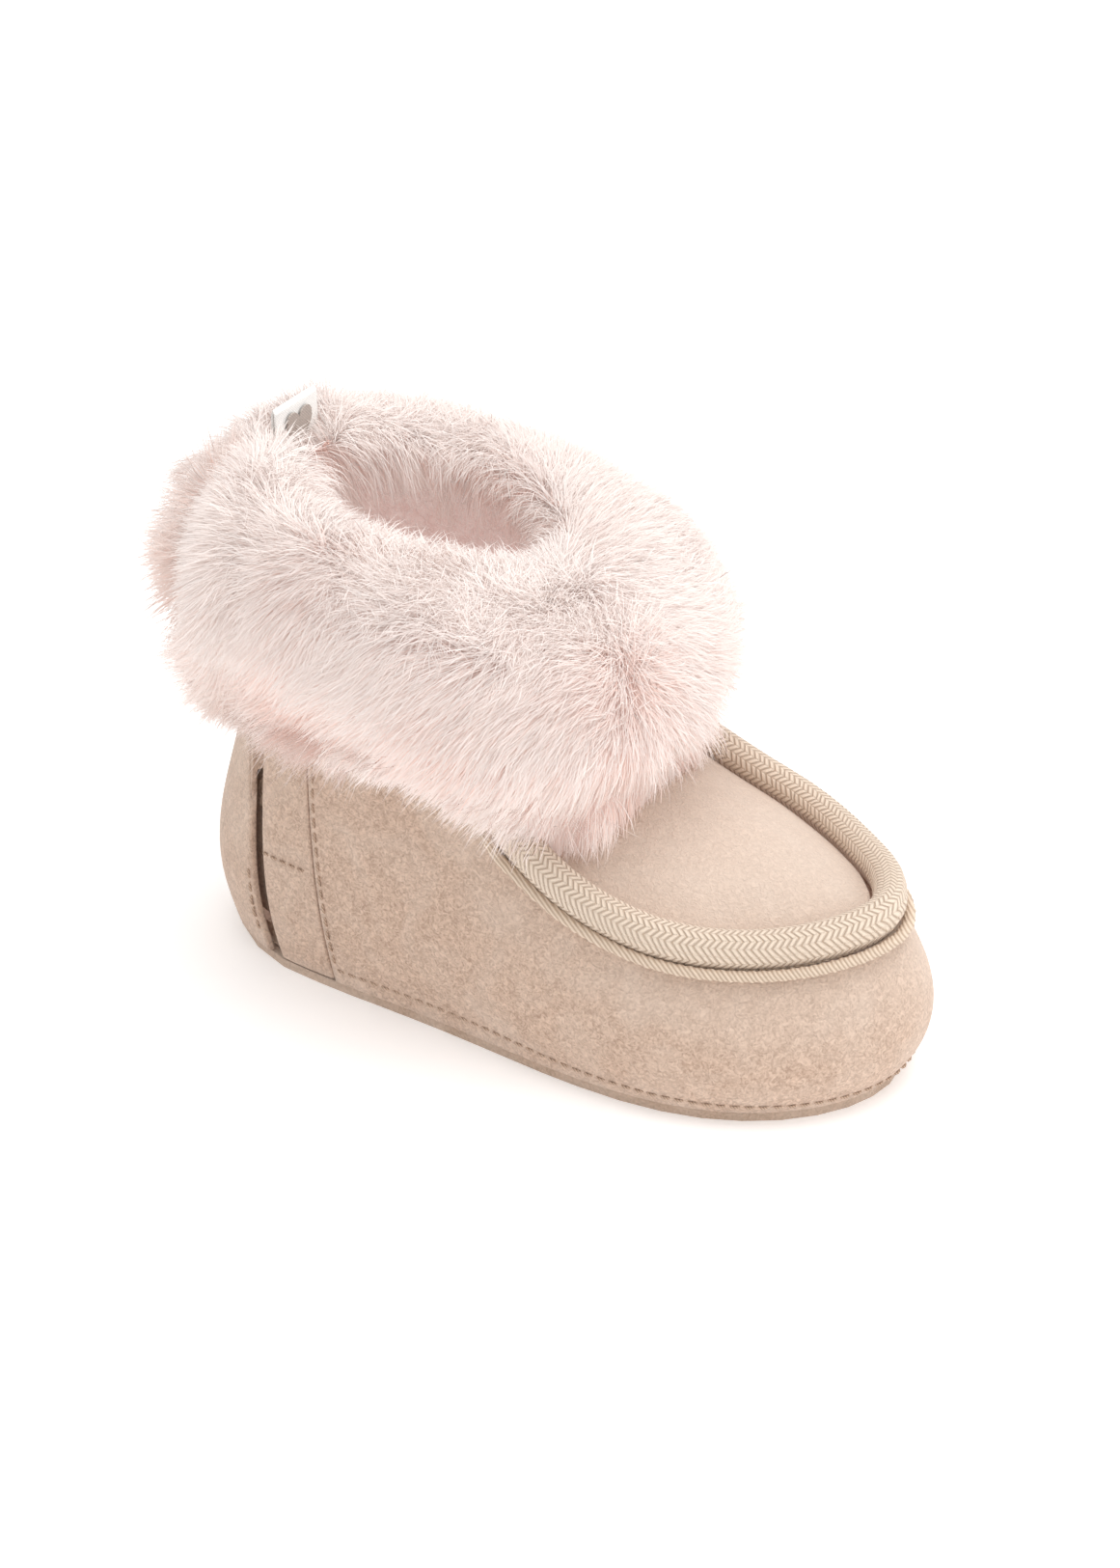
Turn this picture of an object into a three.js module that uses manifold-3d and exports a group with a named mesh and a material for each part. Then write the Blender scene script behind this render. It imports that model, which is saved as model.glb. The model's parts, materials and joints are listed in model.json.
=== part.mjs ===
// Baby bootie for a left foot: suede upper on a soft sole, a bound moccasin toe, a turned-down
// faux-fur cuff and an ankle slit that closes with hook-and-loop tape.
// Millimetres. +X points to the toe, +Y to the wearer's left (the outer side of this foot), +Z up.
// The origin is the centre of the outsole's underside.
import * as THREE from 'three';
import { mergeVertices } from 'three/addons/utils/BufferGeometryUtils.js';
import Module from 'manifold-3d';

const wasm = await Module();
wasm.setup();

// ---- driving dimensions ---------------------------------------------------------------------
const GAP = 0.3; // clearance between neighbouring pieces
const STEP = 0.5; // stations between the rings of a layer

// Sole stack, from the ground up.
const OUTSOLE = { thick: 1.4, inset: 0.6 };
const SEAM_Z = OUTSOLE.thick + GAP; // where the upper stands on the outsole
const FOAM = { bottom: SEAM_Z, top: 4.8, inset: 1.9 };
const FOOTBED = { bottom: FOAM.top + GAP, top: 7.1, inset: 5.4 };

// Depths of the upper's layers, measured inwards from the suede's outer face.
const SUEDE = { outer: 0, inner: 1.1 };
const PADDING = { outer: 1.5, inner: 3.7 };
const LINING = { outer: 4.1, inner: 5.9 };
const HOOK = { outer: 1.4, inner: 2.0 };
const LOOP = { outer: 2.3, inner: 2.9 };
const UNDERLAP = { outer: 3.2, inner: 3.9 };
const STRIP_DEPTH = 0.5; // the placket's visible strip lies this much below the suede

// Where the layers begin and end on the wall: 0 is the sole's seam, 1 the waist, 2 the top edge.
const WAIST = { below: 0.94, above: 1.06 }; // two rings keep the waist's crease crisp
const PADDING_SPAN = { bottom: 0.16, top: 1.94, underTape: 0.03 };
const LINING_SPAN = { bottom: 0.19, top: 1.96, underTape: 0.05 };
const FLAP_LINING_SPAN = { bottom: 0.3, top: 1.96 };
const PLACKET_SPAN = { underlapBottom: 0.12, top: 1.99 };
const TAPE_ON_FLAP_TOP = 1.9;
const SEAM_SPAN = { bottom: 0.08, top: 0.98 };

// Stations round the upper, from the heel's centre (0) to the toe's centre (12). Each has its
// point on the sole seam, its point on the waist line (the tape's line in front, the ankle behind),
// and how far the wall bellies out low down and high up. The medial side has y = -w.
const STATIONS = [
  { sole: [-57.3, 0], waist: [-53, 0, 46], belly: [8.2, 0] },
  { sole: [-52.8, 12], waist: [-50.8, 9.4, 46], belly: [7.6, 0] },
  { sole: [-41, 19.7], waist: [-44.3, 16.4, 46], belly: [5.8, 0.3] },
  { sole: [-28.2, 21.6], waist: [-33, 20.1, 47], belly: [5.0, 0.8] },
  { sole: [-18, 22.2], waist: [-21.7, 21.6, 48.5], belly: [4.8, 1] },
  { sole: [-7, 23], waist: [-11, 22.1, 50], belly: [4.8, 1] },
  { sole: [4.5, 24.2], waist: [-3, 22.3, 47.5], belly: [4.8, 1] },
  { sole: [16, 25.2], waist: [6, 22.8, 37], belly: [5.0, 1.5] },
  { sole: [29, 24.8], waist: [17, 23.9, 31.3], belly: [5.6, 2.5] },
  { sole: [40, 21.8], waist: [30, 22.6, 28], belly: [6.4, 3.5] },
  { sole: [49, 15.9], waist: [41.5, 16.9, 26.9], belly: [7.2, 4.5] },
  { sole: [54.8, 8.2], waist: [50.2, 9, 27.5], belly: [8.0, 5.5] },
  { sole: [56.8, 0], waist: [54, 0, 28.1], belly: [8.2, 6] },
];
const TURN = STATIONS.length - 1; // the toe's station
const FRONT_EDGE = 5.6; // the ankle wall's front edges stand here, the instep panel between them
const TAPE_END = 6.25; // the tape's arms start here, under the cuff

// The ankle wall's top edge, at stations 0 to 6.
const SHAFT_TOP = [
  [-50.5, 0, 73],
  [-48.4, 8.6, 72.5],
  [-42.2, 15, 71.8],
  [-32.5, 18.9, 71],
  [-22.5, 20.2, 70],
  [-13, 19.3, 69],
  [-6.5, 16, 68],
];

// The closure: the slit stands at station -2, the placket's seam at -3, both on the medial side.
const SLIT = -2;
const PLACKET_SEAM = -3;
const SLIT_BOTTOM_Z = 22;
const UNDERLAP_EDGE = -1.45; // how far the placket reaches back behind the flap
const BAR_Z = 20.5; // the bar of stitches under the slit
const FLAP_OPENS = 40; // degrees

// The flap folds along a slanting line, from the slit's foot up to this station of the top edge.
const FOLD_TOP = -0.55;
const HINGE_AIM = new THREE.Vector3(-24, 0, 48); // the fold's cut runs in towards this point
const SLIT_AIM = new THREE.Vector3(-47, 0, 48); // and the slit's cut, clear of the flap's swing, here

// Moccasin tape: a padded roll over the seam between the wall and the apron.
const TAPE = { tall: 5.6, thick: 4.4, raised: 0.7 };
const CORD = { radius: 0.75, below: 0.85 }; // its middle lies this far below the tape's edge
const THREAD_RADIUS = 0.35;

// Rows of the apron and the instep, toe first: the station of the row's two ends, and the x and z
// of its middle. The last rows run up the front of the ankle to "up", a share of its height.
const INSTEP = [
  { at: 11.6, mid: [50.3, 28] },
  { at: 11.2, mid: [48.9, 28.6] },
  { at: 10.5, mid: [44.8, 30.3] },
  { at: 9.7, mid: [37, 32.5] },
  { at: 8.8, mid: [28, 34.4] },
  { at: 8.0, mid: [19.5, 36.4] },
  { at: 7.3, mid: [13, 39.2] },
  { at: 6.7, mid: [8, 43.4] },
  { at: 6.25, mid: [4.5, 48.6] },
  { at: 5.9, up: 0.35, mid: [2.2, 55] },
  { at: 5.9, up: 0.7, mid: [0.8, 61] },
  { at: 5.9, up: 1, mid: [0, 65.5] },
];
const APRON_INSET = TAPE.thick / 2 + 0.8;

// Rails of the cuff's section at stations 0 to 6 of the wall, then the instep's side and middle.
const CUFF = {
  hem: [[-57.5, 0, 54.5], [-55, 14.5, 52.5], [-46.5, 23.5, 48.5], [-33.5, 28, 47], [-20, 30, 47],
    [-8, 31, 48], [3, 30, 46.5], [13.5, 19.5, 39.5], [17.5, 0, 40.3]],
  bulge: [[-62, 0, 68], [-58.5, 18, 67.5], [-49, 28.5, 67], [-35, 33.5, 65.5], [-20, 35.5, 63],
    [-6, 36, 59.5], [9, 33, 56], [19.5, 20, 53.5], [23.5, 0, 53.5]],
  shoulder: [[-59, 0, 78], [-55.5, 15.5, 77.5], [-46.5, 24, 77], [-34, 28.5, 76], [-20, 30.5, 74.5],
    [-7.5, 30, 72.5], [5, 27, 70], [13.5, 16, 67.5], [17, 0, 66.8]],
  crest: [[-50.5, 0, 82.5], [-48, 10.5, 82], [-40.5, 17.5, 81], [-31, 21.5, 80], [-20.5, 23, 78.5],
    [-10.5, 22, 77], [-2, 18, 75.5], [5, 10.5, 74], [7.5, 0, 73.5]],
  lip: [[-42, 0, 79.5], [-40, 6, 79], [-36, 10.5, 78.5], [-30, 13, 77.5], [-22.5, 13.8, 76.5],
    [-15.5, 12.8, 75.5], [-9.5, 10, 74], [-5.5, 6, 72.5], [-4, 0, 72]],
};
const CUFF_CLEAR = 0.7; // between the cuff's backing and the suede

// The label: a folded ribbon standing out of the cuff's crest at the heel.
const LABEL = { x: -49.2, y: 1.7, base: 74, top: 85.5, wide: 11, thick: 0.5, fold: 1.6 };
const LABEL_LEANS = [-10, 15]; // degrees, towards the heel and towards the toe
const MARK = { size: 6.2, thick: 0.3, z: 80.9 };

// ---- helpers ----------------------------------------------------------------------------------
const vec = (x, y, z) => new THREE.Vector3(x, y, z);

/** Evenly spaced numbers from a to b, ends included. */
function spread(a, b, steps) {
  return Array.from({ length: steps + 1 }, (_, i) => a + ((b - a) * i) / steps);
}

/** A closed curve through half a ring of points, mirrored over the XZ plane. */
function ringCurve(half) {
  const medial = half.map(([x, w, z]) => vec(x, -w, z));
  const lateral = half.slice(1, -1).reverse().map(([x, w, z]) => vec(x, w, z));
  return new THREE.CatmullRomCurve3([...medial, ...lateral], true, 'centripetal');
}

/** The point of a ring curve at a signed station: below 0 is medial, above 0 lateral. */
function atStation(curve, s) {
  const count = curve.points.length;
  return curve.getPoint(((count - s) % count) / count);
}

/** One closed body from rings of equal length; the rings close on themselves, or get end caps. */
function loft(rings, closed = false) {
  const n = rings[0].length;
  const triangles = [];
  const spans = closed ? rings.length : rings.length - 1;
  for (let i = 0; i < spans; i++) {
    const a = rings[i];
    const b = rings[(i + 1) % rings.length];
    for (let j = 0; j < n; j++) {
      const k = (j + 1) % n;
      triangles.push(a[j], b[j], b[k], a[j], b[k], a[k]);
    }
  }
  if (!closed) {
    triangles.push(...cap(rings[0], true), ...cap(rings[rings.length - 1], false));
  }
  return facingOut(new THREE.BufferGeometry().setFromPoints(triangles));
}

/** A ring's end face, as strips between its first half and its second. */
function cap(ring, forward) {
  const found = [];
  for (let j = 0, k = ring.length - 1; j + 1 < k; j++, k--) {
    const [a, b, c, d] = [ring[j], ring[j + 1], ring[k - 1], ring[k]];
    const faces = k - 1 > j + 1 ? [a, b, c, a, c, d] : [a, b, d];
    found.push(...(forward ? faces : faces.reverse()));
  }
  return found;
}

/** Merges shared vertices and, where the faces point in, turns them round. */
function facingOut(geometry) {
  const merged = mergeVertices(geometry, 1e-4);
  const p = merged.attributes.position;
  const index = merged.index.array;
  let volume = 0;
  for (let i = 0; i < index.length; i += 3) {
    const [a, b, c] = [0, 1, 2].map((k) => vec().fromBufferAttribute(p, index[i + k]));
    volume += a.dot(b.cross(c));
  }
  if (volume < 0) {
    for (let i = 0; i < index.length; i += 3) {
      [index[i], index[i + 1]] = [index[i + 1], index[i]];
    }
  }
  return merged;
}

/** A sheet between two depths of a surface(u, v, depth): one ring across it for each u. */
function sheet(surface, us, vsAt, layer, closed = false) {
  const rings = us.map((u) => {
    const vs = vsAt(u);
    const outer = vs.map((v) => surface(u, v, layer.outer));
    const inner = vs.map((v) => surface(u, v, layer.inner)).reverse();
    return [...outer, ...inner];
  });
  return loft(rings, closed);
}

/** A cord along points, with flat ends. */
function cordAlong(points, radius, sides) {
  const extrudePath = new THREE.CatmullRomCurve3(points);
  const turns = spread(0, 2 * Math.PI, sides).slice(0, -1);
  const corners = turns.map((t) => new THREE.Vector2(radius * Math.cos(t), radius * Math.sin(t)));
  const options = { steps: points.length - 1, extrudePath };
  return facingOut(bare(new THREE.ExtrudeGeometry(new THREE.Shape(corners), options)));
}

/** The geometry with nothing but its positions. */
function bare(geometry) {
  geometry.deleteAttribute('normal');
  geometry.deleteAttribute('uv');
  return geometry;
}

function toSolid(geometry) {
  const merged = mergeVertices(geometry, 1e-4);
  const vertProperties = new Float32Array(merged.attributes.position.array);
  const triVerts = new Uint32Array(merged.index.array);
  return new wasm.Manifold(new wasm.Mesh({ numProp: 3, vertProperties, triVerts }));
}

function toGeometry(solid) {
  const mesh = solid.getMesh();
  const geometry = new THREE.BufferGeometry();
  geometry.setAttribute('position', new THREE.BufferAttribute(mesh.vertProperties, 3));
  geometry.setIndex(new THREE.BufferAttribute(mesh.triVerts, 1));
  return geometry;
}

/** All that lies more than `clear` beyond a plane, on the side its normal points to. */
function beyond(plane, clear = 0) {
  const reach = 400;
  const block = bare(new THREE.BoxGeometry(reach, reach, reach));
  const turn = new THREE.Quaternion().setFromUnitVectors(vec(0, 0, 1), plane.normal);
  const middle = plane.normal.clone().multiplyScalar(reach / 2 + clear - plane.constant);
  block.applyMatrix4(new THREE.Matrix4().compose(middle, turn, vec(1, 1, 1)));
  return toSolid(block);
}

// ---- surfaces -----------------------------------------------------------------------------------
const soleCurve = ringCurve(STATIONS.map(({ sole: [x, w] }) => [x, w, SEAM_Z]));
const waistCurve = ringCurve(STATIONS.map(({ waist }) => waist));
const [lowRail, highRail] = [0, 1].map(bellyRail);
const shaftCurve = new THREE.CatmullRomCurve3(
  [...SHAFT_TOP.slice(1).reverse().map(([x, w, z]) => vec(x, -w, z)),
    ...SHAFT_TOP.map(([x, w, z]) => vec(x, w, z))],
  false,
  'centripetal',
);

/** A control rail of the wall: a third of the way up from the sole (0) or down from the waist (1). */
function bellyRail(which) {
  const half = STATIONS.map(({ sole, waist, belly }, k) => {
    const along = atStation(soleCurve, -k - 0.01).sub(atStation(soleCurve, -k + 0.01));
    const out = vec(along.y, -along.x, 0).normalize();
    const [x, w] = which ? waist : sole;
    const z = SEAM_Z + ((waist[2] - SEAM_Z) * (which + 1)) / 3;
    const bulged = vec(x, -w, z).addScaledVector(out, belly[which]);
    return [bulged.x, k % TURN ? -bulged.y : 0, bulged.z];
  });
  return ringCurve(half);
}

/** The wall's outer face: v runs 0 to 1 from the sole to the waist and 1 to 2 up the ankle. */
function wallFace(s, v) {
  const waist = atStation(waistCurve, s);
  if (v > 1) {
    const reach = SHAFT_TOP.length - 1;
    const top = shaftCurve.getPoint(THREE.MathUtils.clamp((s + reach) / (2 * reach), 0, 1));
    return waist.lerp(top, v - 1);
  }
  const [sole, low, high] = [soleCurve, lowRail, highRail].map((rail) => atStation(rail, s));
  return new THREE.CubicBezierCurve3(sole, low, high, waist).getPoint(v);
}

/** The outward normal of a face(u, v), by differences. */
function outward(face, u, v) {
  const h = 0.02;
  const across = face(u + h, v).sub(face(u - h, v));
  const up = face(u, v + h).sub(face(u, v - h));
  return up.cross(across).normalize();
}

function wall(s, v, depth) {
  const at = THREE.MathUtils.clamp(v, 0.03, 1.97);
  const out = outward(wallFace, s, at);
  const flat = vec(out.x, out.y, 0).normalize();
  return wallFace(s, v).addScaledVector(v < 0.15 ? flat : out, -depth);
}

/** The v at which the wall reaches a height. */
function vAtHeight(s, z) {
  let [low, high] = [0, 2];
  for (let i = 0; i < 30; i++) {
    const mid = (low + high) / 2;
    if (wallFace(s, mid).z < z) low = mid;
    else high = mid;
  }
  return low;
}

/** The apron's outer face: r counts its rows from the toe, a runs -1 to 1 from medial to lateral. */
function instepFace(r, a) {
  const row = THREE.MathUtils.clamp(r, 0, INSTEP.length - 1);
  const i = Math.min(Math.floor(row), INSTEP.length - 2);
  const [p, q] = [instepEdge(INSTEP[i]), instepEdge(INSTEP[i + 1])];
  const edge = p.lerp(q, row - i);
  const mids = new THREE.CatmullRomCurve3(INSTEP.map(({ mid: [x, z] }) => vec(x, 0, z)));
  const middle = mids.getPoint(row / (INSTEP.length - 1));
  const fall = a * a;
  return vec(
    middle.x + (edge.x - middle.x) * fall,
    edge.y * -a,
    middle.z + (edge.z - middle.z) * fall,
  );
}

/** The medial end of one of the apron's rows. */
function instepEdge({ at, up = 0 }) {
  const out = outward(wallFace, -at, up ? 1 + up * 0.9 : 0.97);
  const flat = vec(out.x, out.y, 0).normalize();
  const edge = up ? wallFace(-at, 1 + up) : atStation(waistCurve, -at);
  const inset = up ? GAP + 0.2 : APRON_INSET;
  return edge.addScaledVector(flat, -inset);
}

function instep(r, a, depth) {
  const row = THREE.MathUtils.clamp(r, 0.05, INSTEP.length - 1.05);
  const across = THREE.MathUtils.clamp(a, -0.97, 0.97);
  const out = outward(instepFace, row, across);
  return instepFace(r, a).addScaledVector(out, -depth);
}

// ---- pieces ---------------------------------------------------------------------------------------
/** A flat plate inside the sole's outline. */
function plate(bottom, top, inset) {
  const outline = spread(-TURN, TURN, 44).slice(0, -1).map((s) => {
    const out = atStation(soleCurve, s - 0.05).sub(atStation(soleCurve, s + 0.05));
    const flat = vec(-out.y, out.x, 0).normalize();
    return atStation(soleCurve, s).addScaledVector(flat, inset);
  });
  const shape = new THREE.Shape(outline.map(({ x, y }) => new THREE.Vector2(x, y)));
  const geometry = new THREE.ExtrudeGeometry(shape, { depth: top - bottom, bevelEnabled: false });
  return facingOut(bare(geometry.translate(0, 0, bottom)));
}

const wallStart = PLACKET_SEAM - 0.04;
/** The v on the wall that lies a distance below the tape's middle, measured across its path. */
function belowTape(s, distance) {
  const { at, up } = tapeFrame(s);
  return vAtHeight(s, at.z - distance / up.z);
}

const underTape = (s) => belowTape(s, TAPE.tall / 2 + GAP);

const upTheAnkle = (bottom, top) => (
  [...spread(bottom, WAIST.below, 5), ...spread(WAIST.above, top, 2)]
);

/** Heights of a layer of the wall at a station: up the ankle behind, under the tape in front. */
function levels(bottom, ankleTop, frontTop, edge = FRONT_EDGE) {
  return (s) => {
    if (Math.abs(s) > edge + 0.01) return spread(bottom, frontTop(s), 8);
    return upTheAnkle(bottom, ankleTop);
  };
}

/** Stations from one to another that always hold both sides of the ankle's front edges. */
function stations(from, to, step, edge = FRONT_EDGE) {
  const found = spread(from, to, Math.round(Math.abs(to - from) / step));
  const edges = [edge, edge + 0.3];
  const kept = found.filter((s) => edges.every((e) => Math.abs(Math.abs(s) - e) > 0.2));
  for (const e of [...edges, ...edges.map((x) => -x)]) {
    if (e > Math.min(from, to) && e < Math.max(from, to)) kept.push(e);
  }
  return kept.sort((a, b) => a - b);
}

const backSeam = 0.05;
const innerEdge = FRONT_EDGE - 0.4; // the padding and lining stop this far back of the suede

/** Stations of the long way round: from the placket's seam over the toe to the back seam. */
function longWay(start, end, edge = FRONT_EDGE) {
  const medial = stations(-TURN, start, STEP, edge).reverse();
  const lateral = stations(end, TURN, STEP, edge).reverse();
  return [...medial, ...lateral.slice(1)];
}

function makeSideWall() {
  return sheet(wall, longWay(wallStart, backSeam), levels(0, 2, underTape), SUEDE);
}

function makePadding() {
  const front = (s) => underTape(s) - PADDING_SPAN.underTape;
  const us = longWay(wallStart - 0.3, backSeam, innerEdge);
  return sheet(wall, us, levels(PADDING_SPAN.bottom, PADDING_SPAN.top, front, innerEdge), PADDING);
}

/** The lining all round, with nothing cut out of it yet. */
function liningRing() {
  const front = (s) => underTape(s) - LINING_SPAN.underTape;
  const us = stations(-TURN, TURN, STEP, innerEdge).slice(0, -1);
  const heights = levels(LINING_SPAN.bottom, LINING_SPAN.top, front, innerEdge);
  return sheet(wall, us, heights, LINING, true);
}

/** The whole quarter between the slit and the back seam, before the flap is parted from it. */
function quarterBlank() {
  const us = spread(SLIT + 0.03, -backSeam, 8);
  return sheet(wall, us, levels(0, 2, underTape), SUEDE);
}

/** The flap's own lining, which fills its thickness behind the placket's edge. */
function flapLiningBlank() {
  const layer = { outer: SUEDE.inner + GAP, inner: LINING.outer - GAP };
  const heights = spread(FLAP_LINING_SPAN.bottom, FLAP_LINING_SPAN.top, 8);
  return sheet(wall, spread(UNDERLAP_EDGE + 0.05, -0.3, 5), () => heights, layer);
}

/** The placket: a strip beside the slit that dives behind the flap and carries the loop tape. */
function makePlacket() {
  const dive = (s) => THREE.MathUtils.smoothstep(s, SLIT - 0.17, SLIT + 0.02);
  const depthAt = (s) => THREE.MathUtils.lerp(STRIP_DEPTH, UNDERLAP.outer, dive(s));
  const thick = UNDERLAP.inner - UNDERLAP.outer;
  const us = [PLACKET_SEAM + 0.02, -2.8, -2.6, -2.4, -2.25, -2.16, -2.11, -2.07, -2.03, -1.98, -1.9,
    -1.7, -1.5, UNDERLAP_EDGE];
  const surface = (s, v, depth) => wall(s, v, depthAt(s) + depth);
  const heights = (s) => upTheAnkle(PLACKET_SPAN.underlapBottom * dive(s), PLACKET_SPAN.top);
  return sheet(surface, us, heights, { outer: 0, inner: thick });
}

/** A flat tape on the closure, between two stations and above the slit's bottom. */
function closureTape(from, to, layer) {
  const low = vAtHeight(SLIT, SLIT_BOTTOM_Z + 4);
  return sheet(wall, spread(from, to, 3), () => spread(low, TAPE_ON_FLAP_TOP, 6), layer);
}

function makeInstep(layer, rows, reach) {
  return sheet(instep, rows, () => spread(-reach, reach, 8), layer);
}

/** The tape's frame at a station: its middle, the way out, and the way up across its path. */
function tapeFrame(s) {
  const at = atStation(waistCurve, s);
  const along = atStation(waistCurve, s + 0.05).sub(atStation(waistCurve, s - 0.05)).normalize();
  const out = vec(along.y, -along.x, 0).normalize().negate();
  const up = out.clone().cross(along).normalize();
  if (up.z < 0) up.negate();
  return { at: at.addScaledVector(up, TAPE.raised), out, up };
}

/** The roll of tape over the moccasin seam: an oval section along the waist line. */
function makeTape(end = TAPE_END, grow = 0) {
  const us = [...spread(-end, -TURN, 20), ...spread(TURN, end, 20).slice(1)];
  const sides = 10;
  const rings = us.map((s) => {
    const { at, out, up } = tapeFrame(s);
    return spread(0, 2 * Math.PI, sides).slice(0, -1).map((t) => at.clone()
      .addScaledVector(out, (TAPE.thick / 2 + grow) * Math.cos(t))
      .addScaledVector(up, (TAPE.tall / 2 + grow) * Math.sin(t)));
  });
  return loft(rings);
}

/** A seam's thread, lying along the wall at the given stations and heights. */
function thread(us, vAt) {
  return cordAlong(onWall(us, vAt, THREAD_RADIUS + GAP / 2), THREAD_RADIUS, 4);
}

/** A thread that climbs the wall at one station. */
function climbingThread(s, low, high, steps = 12) {
  const points = spread(low, high, steps).map((v) => wall(s, v, -THREAD_RADIUS - GAP / 2));
  return cordAlong(points, THREAD_RADIUS, 4);
}

/** Points on the wall's outer face, standing off it. */
function onWall(us, vAt, standOff) {
  return us.map((s) => wall(s, vAt(s), -standOff));
}

function makeTapeCord() {
  const us = [...spread(-6.4, -TURN, 18), ...spread(TURN, 6.4, 18).slice(1)];
  const below = (s) => belowTape(s, TAPE.tall / 2 + CORD.below);
  return cordAlong(onWall(us, below, CORD.radius + GAP), CORD.radius, 6);
}

/** The cuff: fur cloth from its backing on the suede, down over the outside, with its pile. */
function cuffBlank() {
  const backing = (v, depth) => STATIONS.slice(0, 7).map((_, k) => {
    const p = wall(-Math.min(k, FRONT_EDGE), v(k), depth);
    return [p.x, k ? -p.y : 0, p.z];
  });
  const overInstep = (r, depth, lift = 0) => [-0.62, 0].map((a) => {
    const p = instep(r, a, depth);
    return [p.x, a ? Math.abs(p.y) : 0, p.z + lift];
  });
  const hemV = (k) => vAtHeight(-k, CUFF.hem[k][2] + 1);
  const top = () => 2;
  const lifted = (rail) => rail.map(([x, w, z]) => [x, w, z + CUFF_CLEAR]);
  const last = INSTEP.length - 1;
  const rails = [
    [...backing(hemV, -CUFF_CLEAR), ...overInstep(6.4, -CUFF_CLEAR - 0.6)],
    CUFF.hem,
    CUFF.bulge,
    CUFF.shoulder,
    CUFF.crest,
    CUFF.lip,
    lifted([...backing(top, LINING.inner), ...overInstep(last, 4.2, 0.6)]),
    lifted([...backing(top, -CUFF_CLEAR), ...overInstep(last, -CUFF_CLEAR, 0.6)]),
  ].map(ringCurve);
  const reach = CUFF.hem.length - 1;
  const us = spread(-reach, reach, 40).slice(0, -1);
  return loft(us.map((c) => rails.map((rail) => atStation(rail, c))), true);
}

/** What the cuff leaves free: the instep and all behind it, the tape's arms and the label's swing. */
function cuffHollows() {
  const clear = GAP + 0.1;
  const behind = 12;
  const rows = spread(0, INSTEP.length - 1, 22);
  const instepBlock = makeInstep({ outer: -clear, inner: behind }, rows, 1.08);
  const wallBlock = sheet(wall, spread(-4.6, -6.2, 4), () => spread(0.7, 1.9, 8),
    { outer: -clear, inner: behind / 2 });
  const lateralBlock = wallBlock.clone().applyMatrix4(new THREE.Matrix4().makeScale(1, -1, 1));
  const tapeBlock = makeTape(TAPE_END - 0.1, clear);
  const slot = new THREE.BoxGeometry(LABEL.fold + 2 * LABEL.thick + 4 * GAP + MARK.thick,
    LABEL.wide + 2 * GAP, 2 * (LABEL.top - LABEL.base));
  const swings = [LABEL_LEANS[0], 0, LABEL_LEANS[1]].map((lean) => {
    const turned = slot.clone().translate(GAP, 0, LABEL.top - LABEL.base - GAP);
    return turned.rotateY(THREE.MathUtils.degToRad(lean)).translate(LABEL.x, LABEL.y, LABEL.base);
  });
  const blocks = [instepBlock, instepBlock.clone().translate(0, 0, CUFF_CLEAR), wallBlock,
    facingOut(lateralBlock), tapeBlock, ...swings.map(bare)];
  return blocks.map(toSolid);
}

/** A ribbon folded over at the top, its two legs standing in the cuff. */
function labelRibbon() {
  const { x, y, base, top, wide, thick, fold } = LABEL;
  const half = fold / 2 + thick;
  const bend = top - half;
  const outline = new THREE.Shape();
  outline.moveTo(-half, base);
  outline.lineTo(-half, bend);
  outline.absarc(0, bend, half, Math.PI, 0, true);
  outline.lineTo(half, base);
  outline.lineTo(fold / 2, base);
  outline.lineTo(fold / 2, bend);
  outline.absarc(0, bend, fold / 2, 0, Math.PI, false);
  outline.lineTo(-fold / 2, base);
  const options = { depth: wide, bevelEnabled: false, curveSegments: 6 };
  const ribbon = bare(new THREE.ExtrudeGeometry(outline, options));
  return facingOut(ribbon.rotateX(Math.PI / 2).translate(x, y + wide / 2, 0));
}

/** A small plain heart on the label's front. */
function labelMark() {
  const r = MARK.size;
  const heart = new THREE.Shape();
  heart.moveTo(0, -0.5 * r);
  heart.bezierCurveTo(-0.25 * r, -0.2 * r, -0.6 * r, 0, -0.5 * r, 0.3 * r);
  heart.bezierCurveTo(-0.42 * r, 0.55 * r, -0.1 * r, 0.5 * r, 0, 0.25 * r);
  heart.bezierCurveTo(0.1 * r, 0.5 * r, 0.42 * r, 0.55 * r, 0.5 * r, 0.3 * r);
  heart.bezierCurveTo(0.6 * r, 0, 0.25 * r, -0.2 * r, 0, -0.5 * r);
  const options = { depth: MARK.thick, bevelEnabled: false, curveSegments: 5 };
  const mark = bare(new THREE.ExtrudeGeometry(heart, options));
  const front = LABEL.x + LABEL.fold / 2 + LABEL.thick + GAP;
  mark.rotateX(Math.PI / 2).rotateZ(Math.PI / 2);
  return facingOut(mark.translate(front, LABEL.y, MARK.z));
}

// ---- assembly -----------------------------------------------------------------------------------
const finish = (color, roughness) => ({ color, roughness, metalness: 0 });
const FINISH = {
  suede: finish(0xd6c1a8, 0.95),
  sole: finish(0xc9b297, 0.95),
  tape: finish(0xe8dcc4, 0.9),
  fur: finish(0xf3e2df, 1),
  lining: finish(0xdcb8b8, 1),
  foam: finish(0xf2efe8, 0.9),
  hookLoop: finish(0xe6dccb, 0.85),
  thread: finish(0xb89f83, 0.8),
  ribbon: finish(0xf7f5f1, 0.7),
  mark: finish(0x8d8a86, 0.8),
};

const bootie = new THREE.Group();

function add(name, geometry, material) {
  const mesh = new THREE.Mesh(geometry, new THREE.MeshStandardMaterial(material));
  mesh.name = name;
  bootie.add(mesh);
}

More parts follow.
